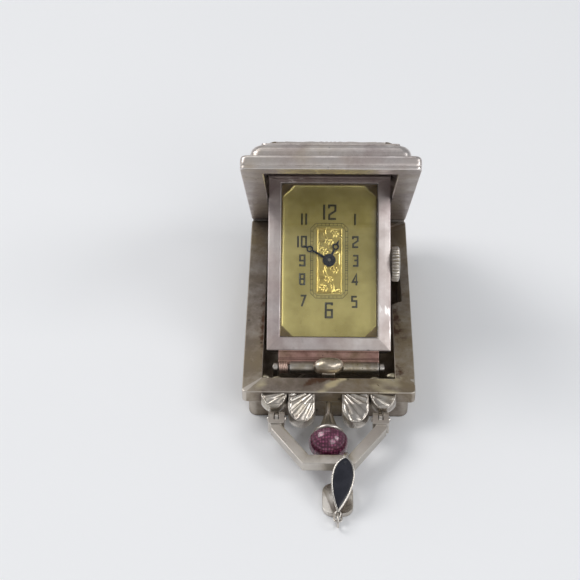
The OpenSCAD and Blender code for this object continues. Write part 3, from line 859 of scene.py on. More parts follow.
@dataclass(frozen=True)
class GuillocheEnamel(Finish):
    """Clear coloured enamel over metal cut with a fan of fine scales."""

    deep: tuple = (0.075, 0.010, 0.032)
    light: tuple = (0.36, 0.085, 0.18)
    scale: float = 2600.0

    def make(self, effects: Effects) -> bpy.types.Material:
        """Builds the material.

        Args:
            effects: shared node groups; not used.
        Returns:
            The material.
        """
        mat, g, shader, where = self.start()
        cells = g.add("TexVoronoi", {"Vector": where, "Scale": self.scale, "Randomness": 0.35}).outputs[0]
        cloud = g.noise(where, 420.0, 3.0)
        scale_light = g.span(cells, 0.1, 0.6, 1.0, 0.0)
        amount = g.times(scale_light, g.span(cloud, 0.3, 0.7, 0.35, 1.0))
        colour = g.blend(amount, self.deep, self.light)
        bump = g.add("Bump", {"Height": cells, "Strength": 0.45, "Distance": 0.00008})
        shader.inputs["Metallic"].default_value = 0.35
        shader.inputs["Roughness"].default_value = 0.38
        shader.inputs["Coat Weight"].default_value = 1.0
        shader.inputs["Coat Roughness"].default_value = 0.09
        g.feed(shader, {"Base Color": colour, "Normal": bump.outputs[0]})
        return mat


@dataclass(frozen=True)
class Glaze(Finish):
    """Even coloured surface with a clear coat: opaque enamel, blued steel or printed black."""

    base: tuple
    second: tuple
    rough: float
    metallic: float = 0.0
    coat: float = 0.0
    dent: float = 0.1

    def make(self, effects: Effects) -> bpy.types.Material:
        """Builds the material.

        Args:
            effects: shared node groups.
        Returns:
            The material.
        """
        mat, g, shader, where = self.start()
        cloud = g.noise(where, 600.0, 4.0)
        scratches = g.effect(effects.scratches, where)
        rough = g.plus(self.rough, g.times(g.minus(cloud, 0.5), 0.25))
        height = g.plus(scratches.outputs["Height"], cloud)
        bump = g.add("Bump", {"Height": height, "Strength": self.dent, "Distance": 0.00003})
        shader.inputs["Metallic"].default_value = self.metallic
        shader.inputs["Coat Weight"].default_value = self.coat
        shader.inputs["Coat Roughness"].default_value = 0.08
        colour = g.blend(g.span(cloud, 0.35, 0.65), self.base, self.second)
        g.feed(shader, {"Base Color": colour, "Roughness": rough, "Normal": bump.outputs[0]})
        return mat


@dataclass(frozen=True)
class WatchGlass(Finish):
    """Clear glass that lets light through to the dial, with faint scratches."""

    name: str = "watch_glass"

    def make(self, effects: Effects) -> bpy.types.Material:
        """Builds the material.

        Args:
            effects: shared node groups.
        Returns:
            The material.
        """
        mat, g, shader, where = self.start()
        shader.inputs["Transmission Weight"].default_value = 1.0
        shader.inputs["Roughness"].default_value = 0.02
        shader.inputs["IOR"].default_value = 1.5
        shader.inputs["Base Color"].default_value = (0.97, 1.0, 0.96, 1.0)
        scratches = g.effect(effects.scratches, where)
        bump = g.add("Bump", {"Height": scratches.outputs["Height"], "Strength": 0.08, "Distance": 0.00001})
        g.feed(shader, {"Normal": bump.outputs[0]})
        path = g.add("LightPath")
        clear = g.add("BsdfTransparent", {"Color": (0.96, 0.98, 0.93, 1.0)})
        passing = g.maths("MAXIMUM", path.outputs["Is Shadow Ray"], path.outputs["Is Diffuse Ray"])
        mix = g.add("MixShader", {0: passing, 1: shader.outputs[0], 2: clear.outputs[0]})
        mat.node_tree.links.new(mix.outputs[0], mat.node_tree.nodes["Material Output"].inputs["Surface"])
        return mat


class Finishes:
    """All the materials of the watch, made once."""

    def __init__(self) -> None:
        """Builds the shared effects and every material."""
        fx = Effects()
        self.case = OldSilver("case_silver", metal=(0.60, 0.55, 0.49), film=(0.235, 0.195, 0.165),
                              second=(0.31, 0.25, 0.165),
                              cover=0.85, rough=0.34, patches=True).make(fx)
        # Painted highlight: the lid takes a lighter copy of the case silver, its pale metal and film standing
        # in for the bright light on its face and crest.
        self.lid = OldSilver("lid_silver_painted_highlight", metal=(0.78, 0.73, 0.70), film=(0.40, 0.33, 0.32),
                             second=(0.52, 0.45, 0.38),
                             cover=0.6, rough=0.27, scale=330.0).make(fx)
        self.bezel = OldSilver("bezel_silver", metal=(0.72, 0.68, 0.66), film=(0.40, 0.33, 0.325),
                               second=(0.50, 0.43, 0.40),
                               cover=0.7, rough=0.3, scale=200.0, reach=0.0004, dent=0.4).make(fx)
        self.fitting = OldSilver("fitting_silver", metal=(0.66, 0.62, 0.57), film=(0.21, 0.175, 0.145),
                                 cover=0.7, scale=520.0, rough=0.26, reach=0.00028).make(fx)
        self.chased = OldSilver("chased_silver", metal=(0.70, 0.66, 0.61), film=(0.24, 0.20, 0.17), cover=0.5,
                                scale=620.0,
                                rough=0.24, reach=0.00026, dent=0.3).make(fx)
        self.plaque = OldSilver("plaque_silver", metal=(0.52, 0.48, 0.45), film=(0.19, 0.16, 0.15),
                                cover=0.75, scale=500.0,
                                rough=0.4, reach=0.0004, dent=0.3).make(fx)
        self.knob = OldSilver("knob_silver", metal=(0.74, 0.68, 0.58), film=(0.40, 0.30, 0.23), cover=0.6,
                              scale=700.0,
                              rough=0.26, dent=1.0, reach=0.0003).make(fx)
        self.copper = OldSilver("copper_strip", metal=(0.52, 0.33, 0.29), film=(0.25, 0.14, 0.12),
                                second=(0.22, 0.15, 0.10),
                                cover=0.75, scale=520.0, rough=0.42, reach=0.0003).make(fx)
        self.spring = OldSilver("spring_wire", metal=(0.60, 0.44, 0.37), film=(0.22, 0.12, 0.09),
                                second=(0.14, 0.09, 0.06),
                                cover=0.8, scale=1100.0, rough=0.42, reach=0.00025).make(fx)
        self.solder = OldSilver("old_solder", metal=(0.44, 0.40, 0.31), film=(0.24, 0.21, 0.12),
                                second=(0.30, 0.26, 0.13),
                                cover=0.9, scale=900.0, rough=0.4, reach=0.0003, dent=1.0).make(fx)
        # The dial gilt darkens the plate beyond its border as a painted reflection.
        self.dial = Gilding("dial_gilt", edged=True).make(fx)
        self.relief = Gilding("dial_relief", light=(0.78, 0.60, 0.22), deep=(0.56, 0.38, 0.10), rough=0.2,
                              depth=0.3, grain=5200.0).make(fx)
        self.gilt = Gilding("gilt_works", light=(0.80, 0.66, 0.36), deep=(0.66, 0.52, 0.26),
                            rough=0.3).make(fx)
        self.steel = Gilding("steel_works", light=(0.66, 0.66, 0.66), deep=(0.52, 0.52, 0.53),
                             rough=0.22).make(fx)
        self.ink = Glaze("dial_ink", (0.02, 0.017, 0.012), (0.04, 0.03, 0.02), 0.5).make(fx)
        self.blued = Glaze("blued_steel", (0.008, 0.011, 0.022), (0.016, 0.018, 0.03), 0.3, metallic=0.6,
                           coat=0.2).make(fx)
        self.bead = GuillocheEnamel("bead_enamel").make(fx)
        self.leaf = Glaze("leaf_enamel", (0.008, 0.009, 0.016), (0.016, 0.017, 0.026), 0.22, coat=0.35,
                          dent=0.25).make(fx)
        self.glass = WatchGlass().make(fx)
        log.info("finishes made")


# ---------------------------------------------------------------- layout


class Layout:
    """Frames of the sub-assemblies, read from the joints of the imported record."""

    HUB_ALONG = 15.625
    FRONT = -0.15
    CROWN_ALONG = 15.4
    STEM = -1.65
    LEAF_ASIDE = 1.25
    LEAF_DROOP = 29.0

    def __init__(self, frame: dict) -> None:
        """Reads the places of the joints.
        """
        joints = {j["name"]: j for j in frame["joints"]}
        spot = {k: np.array(j["pos_m"]) / MM for k, j in joints.items() if "pos_m" in j}
        self.case = Place()
        hinge, pivot, bow = spot["lid_hinge"], spot["watch_tilt"], spot["bow_swing"]
        self.hinge, self.pivot, self.bow_pin = hinge, pivot, bow
        self.lid = Place((0.0, hinge[1], hinge[2]), -joints["lid_hinge"]["range_deg"][1])
        self.head = Place((0.0, pivot[1], pivot[2]), -joints["watch_tilt"]["range_deg"][0])
        self.works = Place(tuple(self.head.carry(np.array([0.0, self.HUB_ALONG, self.FRONT]))),
                           self.head.tilt)
        self.leaf = Place((self.LEAF_ASIDE, *spot["leaf_swing"][1:]), self.LEAF_DROOP)
        self.rim = float(hinge[2])
        self.end = -float(hinge[1])
        self.rod = float(bow[2])


def profile(points: Sequence[Sequence[float]], radius: float, step: float = 1.2, parts: int = 3) -> Array:
    """Softened moulding profile, with long stretches divided.

    Args:
        points: corners as (inset, height, inset at the upper end, corner radius).
        radius: rounding of the corners.
        step: longest stretch left undivided.
        parts: parts of each rounded corner.
    Returns:
        Array (n, 4).
    """
    p = soften(points, radius, parts)
    gaps = np.linalg.norm(np.diff(p[:, :2], axis=0), axis=1)
    t = np.concatenate([[0], np.cumsum(gaps + 1e-4)])
    counts = np.maximum(1, np.ceil(gaps / step)).astype(int)
    fine = np.concatenate([np.linspace(a, b, n, endpoint=False) for a, b, n in zip(t[:-1], t[1:], counts)]
                          + [t[-1:]])
    return np.stack([np.interp(fine, t, p[:, k]) for k in range(p.shape[1])], -1)


def barrel_piece(x0: float, x1: float, radius: float, ease: float = 0.08, steps: int = 40) -> Solid:
    """Makes a knuckle along X with eased ends.

    Args:
        x0: its first end.
        x1: its second end.
        radius: its radius.
        ease: size of the eased edge.
        steps: steps round it.
    Returns:
        A closed solid.
    """
    e = ease
    return lathe([(x0, 0), (x0, radius - e), (x0 + e * 0.3, radius - e * 0.3), (x0 + e, radius),
                  (x1 - e, radius), (x1 - e * 0.3, radius - e * 0.3), (x1, radius - e), (x1, 0)], steps)


# ---------------------------------------------------------------- case


@dataclass
class Maker:
    """What every sub-assembly is given, and the short way to make a piece of it."""

    shop: Workshop
    looks: Finishes
    at: Layout

    def part(self, name: str, solid: Solid, finish: bpy.types.Material, body: Body, *nodes: str,
             slot: str = "fitting_silver", place: Optional[Place] = None, **more: Any) -> None:
        """Makes one piece, in the frame of the case unless another is given.

        Args:
            name: name of the piece.
            solid: shape in mm in the frame of place.
            finish: material.
            body: body that it moves with.
            nodes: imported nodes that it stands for.
            slot: material slot of the record.
            place: frame of the shape.
            more: sharp and marks, as Workshop.piece takes them.
        """
        self.shop.piece(name, solid, place or self.at.case, finish, body, nodes, slot, **more)


@dataclass
class TrayCase(Maker):
    """The shallow tray: rim with its opening and crown notch, stepped walls and hinge knuckles."""

    rim_width: float = 2.75
    hinge_rim: float = 1.7
    wall: float = 1.3
    band: float = 2.0
    step: float = 0.8
    notch: float = 3.0

    def shape(self) -> Solid:
        """Tray: one profile from the floor inside, over the rim, to the flat back.

        Returns:
            The tray in mm. In the notch the rim's inner edge is drawn out to the wall.
        """
        z, w, o, h = self.at.rim, self.wall, self.rim_width, self.hinge_rim
        corners = [(11.9, 0.45, 11.9, 0.05), (w, 0.45, w, 0.8), (w, z - 0.5, w, 0.8), (o, z - 0.5, h, 0.1),
                   (o, z, h, 0.1), (0, z, 0, 0.6), (0, z - self.band, 0, 0.6),
                   (self.step, z - self.band, self.step, 1.2),
                   (self.step, 0, self.step, 1.2), (11.9, 0, 11.9, 0.05)]
        rings = Moulding(CASE_HALF, self.at.end, -self.at.end, 5, 90).rings(profile(corners, 0.13, 0.7))
        x, y, level = rings[..., 0], rings[..., 1], rings[..., 2]
        mid = self.at.pivot[1] + Layout.CROWN_ALONG
        inside = ramp(y, mid - self.notch - 0.12,
                      mid - self.notch) * (1 - ramp(y, mid + self.notch, mid + self.notch + 0.12))
        shelf = (x > 12 - o - 0.2) & (level > z - 0.56)
        drawn = np.where(level > z - 0.45, 12 - (12 - x) * w / o, 12 - w)
        rings[..., 0] = np.where(shelf, x + inside * (np.maximum(drawn, x) - x), x)
        return skin(rings)

    @staticmethod
    def stain(p: Array) -> Array:
        """Brown stain: hills on the rim at the worn spots, broken up by an uneven field.

        Args:
            p: points in mm.
        Returns:
            How strong the stain is at each point, 0 to 1.
        """
        x, y, z = p.T
        on = ramp(z, 5.5, 5.75)
        uneven = 0.5 + 0.5 * bumps(p, 0.9, 4)
        smudge = bell(x, 0.3, 2.4) * bell(y, -15.7, 0.5)
        wedge = bell(x - (y + 17) * 1.4, -3.2, 1.5) * bell(y, -16.6, 1.0) * 0.9
        seam = bell(x, 6.9, 0.07) * (y < -15.4) * 0.9
        right = bell(x, 10.2, 1.6) * (bell(y, -6.5, 2.4) + bell(y, 2.0, 2.2) * 0.7 + bell(y, -14, 1.5) * 0.6)
        left = bell(x, -9.6, 0.5) * bell(y, -4, 9) * 0.9 + bell(x, 9.7, 0.5) * bell(y, -3, 10) * 0.7
        return on * np.clip((smudge + wedge + right * 0.9 + left) * (0.45 + uneven * 0.8) + seam, 0, 1)

    @staticmethod
    def pale(p: Array) -> Array:
        """Pale yellow plating that is left on the rail beside the watch hinge.

        Args:
            p: points in mm.
        Returns:
            How much of it is left at each point, 0 to 1.
        """
        x, y, z = p.T
        band = bell(x - (y + 17) * 1.2, 0.2, 1.2) + bell(x, 8.0, 2.6) * 0.9 + bell(x, -9.5, 1.5) * 0.55
        return ramp(z, 5.5, 5.75) * (y < -15.3) * np.clip(band * (0.75 + 0.35 * bumps(p, 0.8, 9)), 0, 1)

    def build(self) -> None:
        """Makes the tray and its knuckles, the hinge pins, the ears and old solder."""
        on_hinge = (0, *self.at.hinge[1:])
        spans = ((-9, -5.4), (-1.8, 1.8), (5.4, 9))
        knuckles = [barrel_piece(a, b, KNUCKLE_RADIUS).moved(on_hinge) for a, b in spans]
        marks = {"stain": self.stain, "pale": self.pale}
        self.part("tray_shell", join(self.shape(), *knuckles), self.looks.case, Body.CASE, "tray",
                  slot="case_silver", marks=marks)
        self.shop.eased("hinge_ears", self.looks.fitting, 0.08)
        pin = barrel_piece(-7.9, 7.9, 0.4, 0.12, 24).moved((0, *self.at.pivot[1:]))
        spans = ((-11.8, -9.25), (9.25, 11.8))
        seals = [barrel_piece(a, b, 0.19, 0.05, 8).moved(on_hinge) for a, b in spans]
        self.part("hinge_seal", join(*seals), self.looks.case, Body.CASE, slot="case_silver")
        # Painted shade: the watch pin takes the darker plaque silver for its shadowed ends.
        self.part("watch_pin", pin, self.looks.plaque, Body.CASE, "watch_hinge_pin")
        pin = barrel_piece(-9.2, 9.2, 0.35, 0.12, 24).moved(on_hinge)
        self.part("lid_pin", pin, self.looks.fitting, Body.CASE, "lid_hinge_pin")
        places = ((-7.3, -15.35), (6.4, -15.4), (8.9, -14.6), (-9.0, -15.1))
        blobs = [self.blob(x, y, 0.55, 0.3, k) for k, (x, y) in enumerate(places)]
        self.part("solder_spots", join(*blobs), self.looks.solder, Body.CASE)

    def blob(self, x: float, y: float, wide: float, high: float, seed: int) -> Solid:
        """Low uneven dome of solder just under the rim: a turned dome pushed about by an uneven field.

        Args:
            x: place across the case.
            y: place along the case.
            wide: radius.
            high: height.
            seed: which uneven field.
        Returns:
            A closed solid in the frame of the case.
        """
        dome = upright(lathe([(-0.12, 0), (-0.12, wide), (0.02, wide), (high * 0.6, wide * 0.75),
                              (high * 0.95, wide * 0.35), (high, 0)], 28), (0, 0, 0))
        swell = (1 + 0.22 * bumps(dome.points, 1.1, seed))[:, None]
        dome.points = dome.points * np.array([1.25, 0.75, 1.0]) * swell
        return dome.moved((x, y, self.at.rim - 0.45))


@dataclass
class HingedLid(Maker):
    """The hollow lid: band, stepped shoulder, raised panel with its relief plate, and knuckles."""

    wall: float = 0.42
    crest: tuple = ((-33.9, 4.2), (-17.5, 5.8), (-13.4, 6.25), (-8.6, 6.25), (-6.2, 5.9), (-2.4, 4.2))

    def swell(self, y: Array) -> Array:
        """Height of the raised panel above its foot, along the lid."""
        places, levels = np.array(self.crest).T
        return np.interp(y, places, levels) - levels[0]

    def build(self) -> None:
        """Makes the lid shell and its relief plate."""
        t = self.wall
        outside = [(11.9, 4.2, 11.9, 0.05), (2.75, 4.2, 2.5, 0.5), (2.65, 3.94, 2.4, 0.8),
                   (2.35, 3.86, 2.1, 1.0),
                   (1.85, 3.62, 1.6, 1.2), (1.48, 3.2, 1.15, 1.3), (1.3, 2.7, 0.95, 1.2),
                   (1.25, 2.06, 0.9, 1.1), (0.6, 2.04, 0.5, 0.9),
                   (0.22, 1.94, 0.2, 0.8), (0.03, 1.6, 0.03, 0.7), (0, 0.9, 0, 0.62), (0.02, 0.62, 0.02, 0.6),
                   (0.1, 0.55, 0.1, 0.55),
                   (0.02, 0.48, 0.02, 0.6), (0, 0.05, 0, 0.6)]
        inside = [(3.0, 0.05, 1.7, 0.1), (3.0, 0.55, 1.7, 0.1), (t, 0.55, t, 0.4), (t, 1.58, t, 0.4),
                  (1.67, 1.58, 1.32, 0.3),
                  (1.7, 2.58, 1.35, 0.3), (2.97, 3.44, 2.62, 0.2), (3.1, 3.78, 2.84, 0.1),
                  (11.9, 3.78, 11.9, 0.05)]
        line = profile(outside + inside, 0.14, 0.7)
        rings = Moulding(CASE_HALF, -CASE_LONG, 0.0, 5, 84).rings(line)
        high = (line[:, 1] > 4.0) | ((line[:, 1] > 3.6) & (np.arange(len(line)) > len(line) // 2))
        share = np.where(np.arange(len(line)) > len(line) // 2, ramp(line[:, 1], 3.44, 3.78),
                         ramp(line[:, 1], 3.92, 4.2))
        rings[..., 2] += self.swell(rings[..., 1]) * (share * high)[:, None]
        knuckles = [barrel_piece(a, b, KNUCKLE_RADIUS) for a, b in ((-5.3, -1.9), (1.9, 5.3))]
        self.part("lid_shell", join(skin(rings), *knuckles), self.looks.lid, Body.LID, "lid",
                  slot="case_silver", place=self.at.lid)
        self.relief()

    def relief(self) -> None:
        """Relief plate: a grid whose height is a fan of rays over two rows of scallops, inside a border."""
        slope = math.degrees(math.atan(1.6 / 16.4))
        foot = self.at.lid.carry(np.array([0.0, -33.9, 4.2]))
        x, y = np.meshgrid(np.linspace(-8.2, 8.2, 150), np.linspace(0.1, 15.1, 150))
        cut = np.clip(np.abs(x) + np.abs(y - 7.6) - 14.7, 0, None)
        x, y = x - np.sign(x) * cut / 2, y - np.sign(y - 7.6) * cut / 2
        r, a = np.hypot(x, y - 1.6), np.arctan2(x, y - 1.6)
        rays = np.abs(np.cos(a * 9)) ** 0.7 * ramp(r, 1.0, 1.6) * (1 - ramp(r, 6.2, 6.5))
        scallops = np.abs(np.sin(a * 12)) * bell(r, 7.6, 0.7) + bell(r, 9.3, 0.25)
        border = bell(np.maximum(np.abs(x) - 7.6, np.abs(y - 7.6) - 7.0), 0, 0.2)
        high = 0.12 + 0.12 * np.clip(np.maximum(np.maximum(rays, scallops), border), 0, 1)
        top = np.stack([x, y, high], -1)
        low = np.stack([x, y, np.full_like(x, -0.01)], -1)
        place = Place(tuple(foot), self.at.lid.tilt + slope)
        self.part("lid_plaque", sheet_solid(top, low), self.looks.plaque, Body.LID, "lid_relief",
                  slot="case_silver", place=place, sharp=60)


@dataclass
class WatchHinge(Maker):
    """Tube and strip at the heel of the watch head, and the sprung coil beside them."""

    def build(self) -> None:
        """Makes the tube, the strip and the coil."""
        x = np.linspace(-5.46, 7.06, 90)
        seams = bell(x, -1.9, 0.05) + bell(x, 3.4, 0.05)
        r = 0.872 - 0.035 * seams + 0.006 * np.sin(x * 3.1) * np.sin(x * 1.3 + 1)
        line = [(-5.5, 0.41), (-5.5, 0.78), *zip(x, r), (7.1, 0.78), (7.1, 0.41)]
        self.part("heel_tube", lathe(line, 48), self.looks.fitting, Body.HEAD, "heel_barrel",
                  place=self.at.head)
        gx, gy = np.meshgrid(np.linspace(-7.1, 7.1, 150), np.linspace(0.45, 2.5, 60))
        lines = bell(gy, 1.25, 0.07) + bell(gy, 1.42, 0.05) * 0.6 + bell(gy, 2.3, 0.08) * 0.8
        spots = np.stack([gx, gy, gx * 0], -1)
        top = np.stack([gx, gy, -0.17 - 0.1 * lines + 0.018 * bumps(spots, 1.2, 3) - 0.05
                        * ramp(gy, 1.3, 0.6)], -1)
        low = np.stack([gx, gy, np.full_like(gx, -0.75)], -1)
        self.part("heel_strip", sheet_solid(top, low), self.looks.copper, Body.HEAD, "heel_plate",
                  slot="copper_strip", place=self.at.head, sharp=60)
        turn = np.linspace(0, 5 * TURN, 200)
        x = np.interp(turn, [0, turn[-1]], [-6.96, -5.74])
        reach = 0.66 + 0.02 * np.sin(turn * 0.37)
        helix = np.stack([x, reach * np.cos(turn), reach * np.sin(turn)], -1)
        leg = np.array([[-6.96, 0.68, -0.7], [-6.96, 0.68, -0.35]])
        coil = tube(np.concatenate([leg, helix]), 0.15, 10)
        self.part("sprung_coil", coil.moved((0, *self.at.pivot[1:])), self.looks.spring, Body.CASE,
                  "torsion_spring", slot="copper_strip")


# ---------------------------------------------------------------- push piece, ornament, bow, leaf


@dataclass
class PushPiece(Maker):
    """Knob that holds the lid, its rod and spring, the lotus cap, the collar and the enamel bead."""

    def pebble(self) -> Solid:
        """Knob: a rounded loaf with a flat underside, pushed about by an uneven field, on a neck.

        Returns:
            A closed solid.
        """
        u, v = np.meshgrid(np.linspace(-math.pi / 2, math.pi / 2, 40), round_steps(72), indexing="ij")
        ball = np.stack([2.08 * power(np.cos(u), 0.85) * power(np.cos(v), 0.85),
                         1.13 * power(np.cos(u), 0.85) * power(np.sin(v), 0.85),
                         1.3 * power(np.sin(u), 0.85)], -1)
        ball *= (1 + 0.035 * bumps(ball, 0.8, 12) + 0.012 * bumps(ball, 3.0, 5))[..., None]
        ball[..., 2] = np.maximum(ball[..., 2], -0.45)
        head = skin(ball).moved((0, self.at.end + 4.25, self.at.rod + 2.95))
        neck = Moulding(0.9, self.at.end + 3.1, self.at.end + 3.95, 4, 6)
        line = profile([(0.4, self.at.rod - 0.7, 0.4, 0.1), (0, self.at.rod - 0.7, 0, 0.15),
                        (0, self.at.rod + 2.7, 0, 0.15), (0.4, self.at.rod + 2.7, 0.4, 0.1)], 0.1)
        return join(head, skin(neck.rings(line)))

    def build(self) -> None:
        """Makes the pieces of the push piece."""
        end, z = self.at.end, self.at.rod
        self.part("catch_knob", self.pebble(), self.looks.knob, Body.PUSH, "catch_head", sharp=60)
        rod = lathe([(-3.95, 0), (-3.95, 0.34), (-3.88, 0.4), (-1.4, 0.4), (-1.3, 0.36), (-1.2, 0.4),
                     (1.2, 0.4), (4.9, 0.4), (4.9, 0)], 32)
        self.part("rod", along_y(rod, (0, end, z)), self.looks.fitting, Body.PUSH, "push_rod")
        turn = np.linspace(0, 4 * TURN, 130)
        coil = np.stack([0.62 * np.cos(turn), end + 1.45 + 1.35 * turn / turn[-1], z + 0.62 * np.sin(turn)],
                        -1)
        self.part("return_spring", tube(coil, 0.1, 8), self.looks.steel, Body.CASE, "pusher_spring",
                  slot="steel_works")
        t = np.linspace(0, 1, 34)
        r = 0.72 + 0.28 * t + 0.72 * t**2.2 - 0.1 * ramp(t, 0.93, 1.0)
        def lobes(along: Array, angle: Array) -> Array:
            """Lotus flutes: the radius grows along the cap by a wave of the cosine of four times the angle.

            Args:
                along: share of the length.
                angle: angle round the cap.
            Returns:
                A factor on the radius.
            """
            grow = ramp(along, 0.05, 1.0)
            wave = np.abs(np.cos(angle * 4))
            ridge = bell(wave, 1.0, 0.05) * 0.03
            return 1 + grow * (0.24 * (wave**0.7 - 0.75) + ridge)
        line = [(0, 0.41), (0, 0.66), *zip(t * 3, r), (3.0, 0.41)]
        cap = along_y(lathe(line, 192, lobes), (0, end - 2.45, z))
        self.part("lotus", cap, self.looks.chased, Body.PUSH, "lotus_cap", sharp=50)
        t = np.linspace(0, math.pi, 16)
        line = [(0.0, 0.41), *zip(0.36 - 0.36 * np.cos(t), 1.72 + 0.22 * t / math.pi + 0.3 * np.sin(t)),
                (0.72, 0.41)]
        self.part("collar", along_y(lathe(line, 72), (0, end - 5.3, z)), self.looks.chased, Body.PUSH,
                  "bead_collar", sharp=60)
        a = np.linspace(0, math.pi, 70)
        along = np.cos(a) * np.where(np.cos(a) > 0, 0.42, 0.95)
        line = np.stack([-BEAD_RADIUS * along, BEAD_RADIUS * np.sin(a)], -1)
        line[0, 1] = line[-1, 1] = 0
        self.part("bead", along_y(lathe(line, 120), (0, end - 7, z)), self.looks.bead, Body.PUSH,
                  "enamel_bead", slot="bead_enamel", sharp=80)


@dataclass
class Palmette(Maker):
    """Chased petals that spring from the case end on both sides of the push piece."""

    def petal(self, x0: float, x1: float, reach: float, low: float, flutes: float, root: tuple) -> Solid:
        """One petal: a fan of rounded flutes from a root point, inside a raised border.

        The plan is a band with a half-round end; the top falls away from the case end, rises at the
        border, and between swells in flutes by the sine of the angle about the root.

        Args:
            x0: inner side.
            x1: outer side.
            reach: length from the case end.
            low: height of the underside from the rim.
            flutes: flutes for each radian about the root.
            root: point that the flutes spring from.
        Returns:
            A closed solid.
        """
        half, mid = (x1 - x0) / 2, (x0 + x1) / 2
        s = np.sin(np.linspace(0, math.pi / 2, 80))
        t = np.linspace(-1, 1, 90)
        out = np.clip((s * reach - (reach - half)) / half, 0, 1) if reach > half else s * 0.985
        wide = half * np.sqrt(np.maximum(1 - out**2, 0.0004))
        x = mid + wide[:, None] * t[None, :]
        y = -(s * reach)[:, None] + 0 * t[None, :]
        fall = np.interp(-y, [0, reach * 0.4, reach * 0.75, reach],
                         [-0.42, -0.55, -1.1, -1.75 if low < -2.5 else -1.5])
        border = np.minimum(wide[:, None] * (1 - np.abs(t)), (reach + y) * 0.9 + 0.02)
        angle = np.arctan2(x - root[0], root[1] - y)
        swell = np.abs(np.sin(angle * flutes)) ** 0.6
        fan = 0.26 * swell * ramp(border, 0.18, 0.5) * ramp(np.hypot(x - root[0], y - root[1]), 0.5, 1.6)
        rim = 0.24 * bell(border, 0.17, 0.13)
        top = np.stack([x, y, fall + fan + rim - 0.12 - 0.5 * ramp(border, 0.07, 0.0)], -1)
        under = np.stack([x, y, np.interp(-y, [0, reach * 0.6, reach], [low + 0.3, low + 0.3, low])], -1)
        return sheet_solid(top, under)

    def build(self) -> None:
        """Makes the inner and outer pairs."""
        foot = (0, self.at.end, self.at.rim)
        inner = self.petal(1.8, 5.6, 4.1, -2.8, 15.0, (1.2, 1.0)).moved(foot)
        outer = self.petal(5.7, 9.4, 1.7, -2.3, 11.0, (4.6, 0.6)).moved(foot)
        self.part("inner_fans", join(inner, inner.mirrored()), self.looks.chased, Body.CASE, "inner_petals",
                  sharp=70)
        self.part("outer_fans", join(outer, outer.mirrored()), self.looks.chased, Body.CASE, "outer_petals",
                  sharp=70)


@dataclass
class HangingBow(Maker):
    """Half-hexagon bow with its lugs and pins."""

    def build(self) -> None:
        """Makes the bow, the lugs and the pins."""
        self.shop.eased("bow", self.looks.fitting, 0.2, 3)
        self.shop.eased("bow_lugs", self.looks.fitting, 0.07)
        pins = [barrel_piece(-1.33, 1.33, 0.35, 0.14,
                             24).moved((s * 7.15, *self.at.bow_pin[1:])) for s in (-1, 1)]
        self.part("bow_rivets", join(*pins), self.looks.fitting, Body.CASE, "bow_pins")


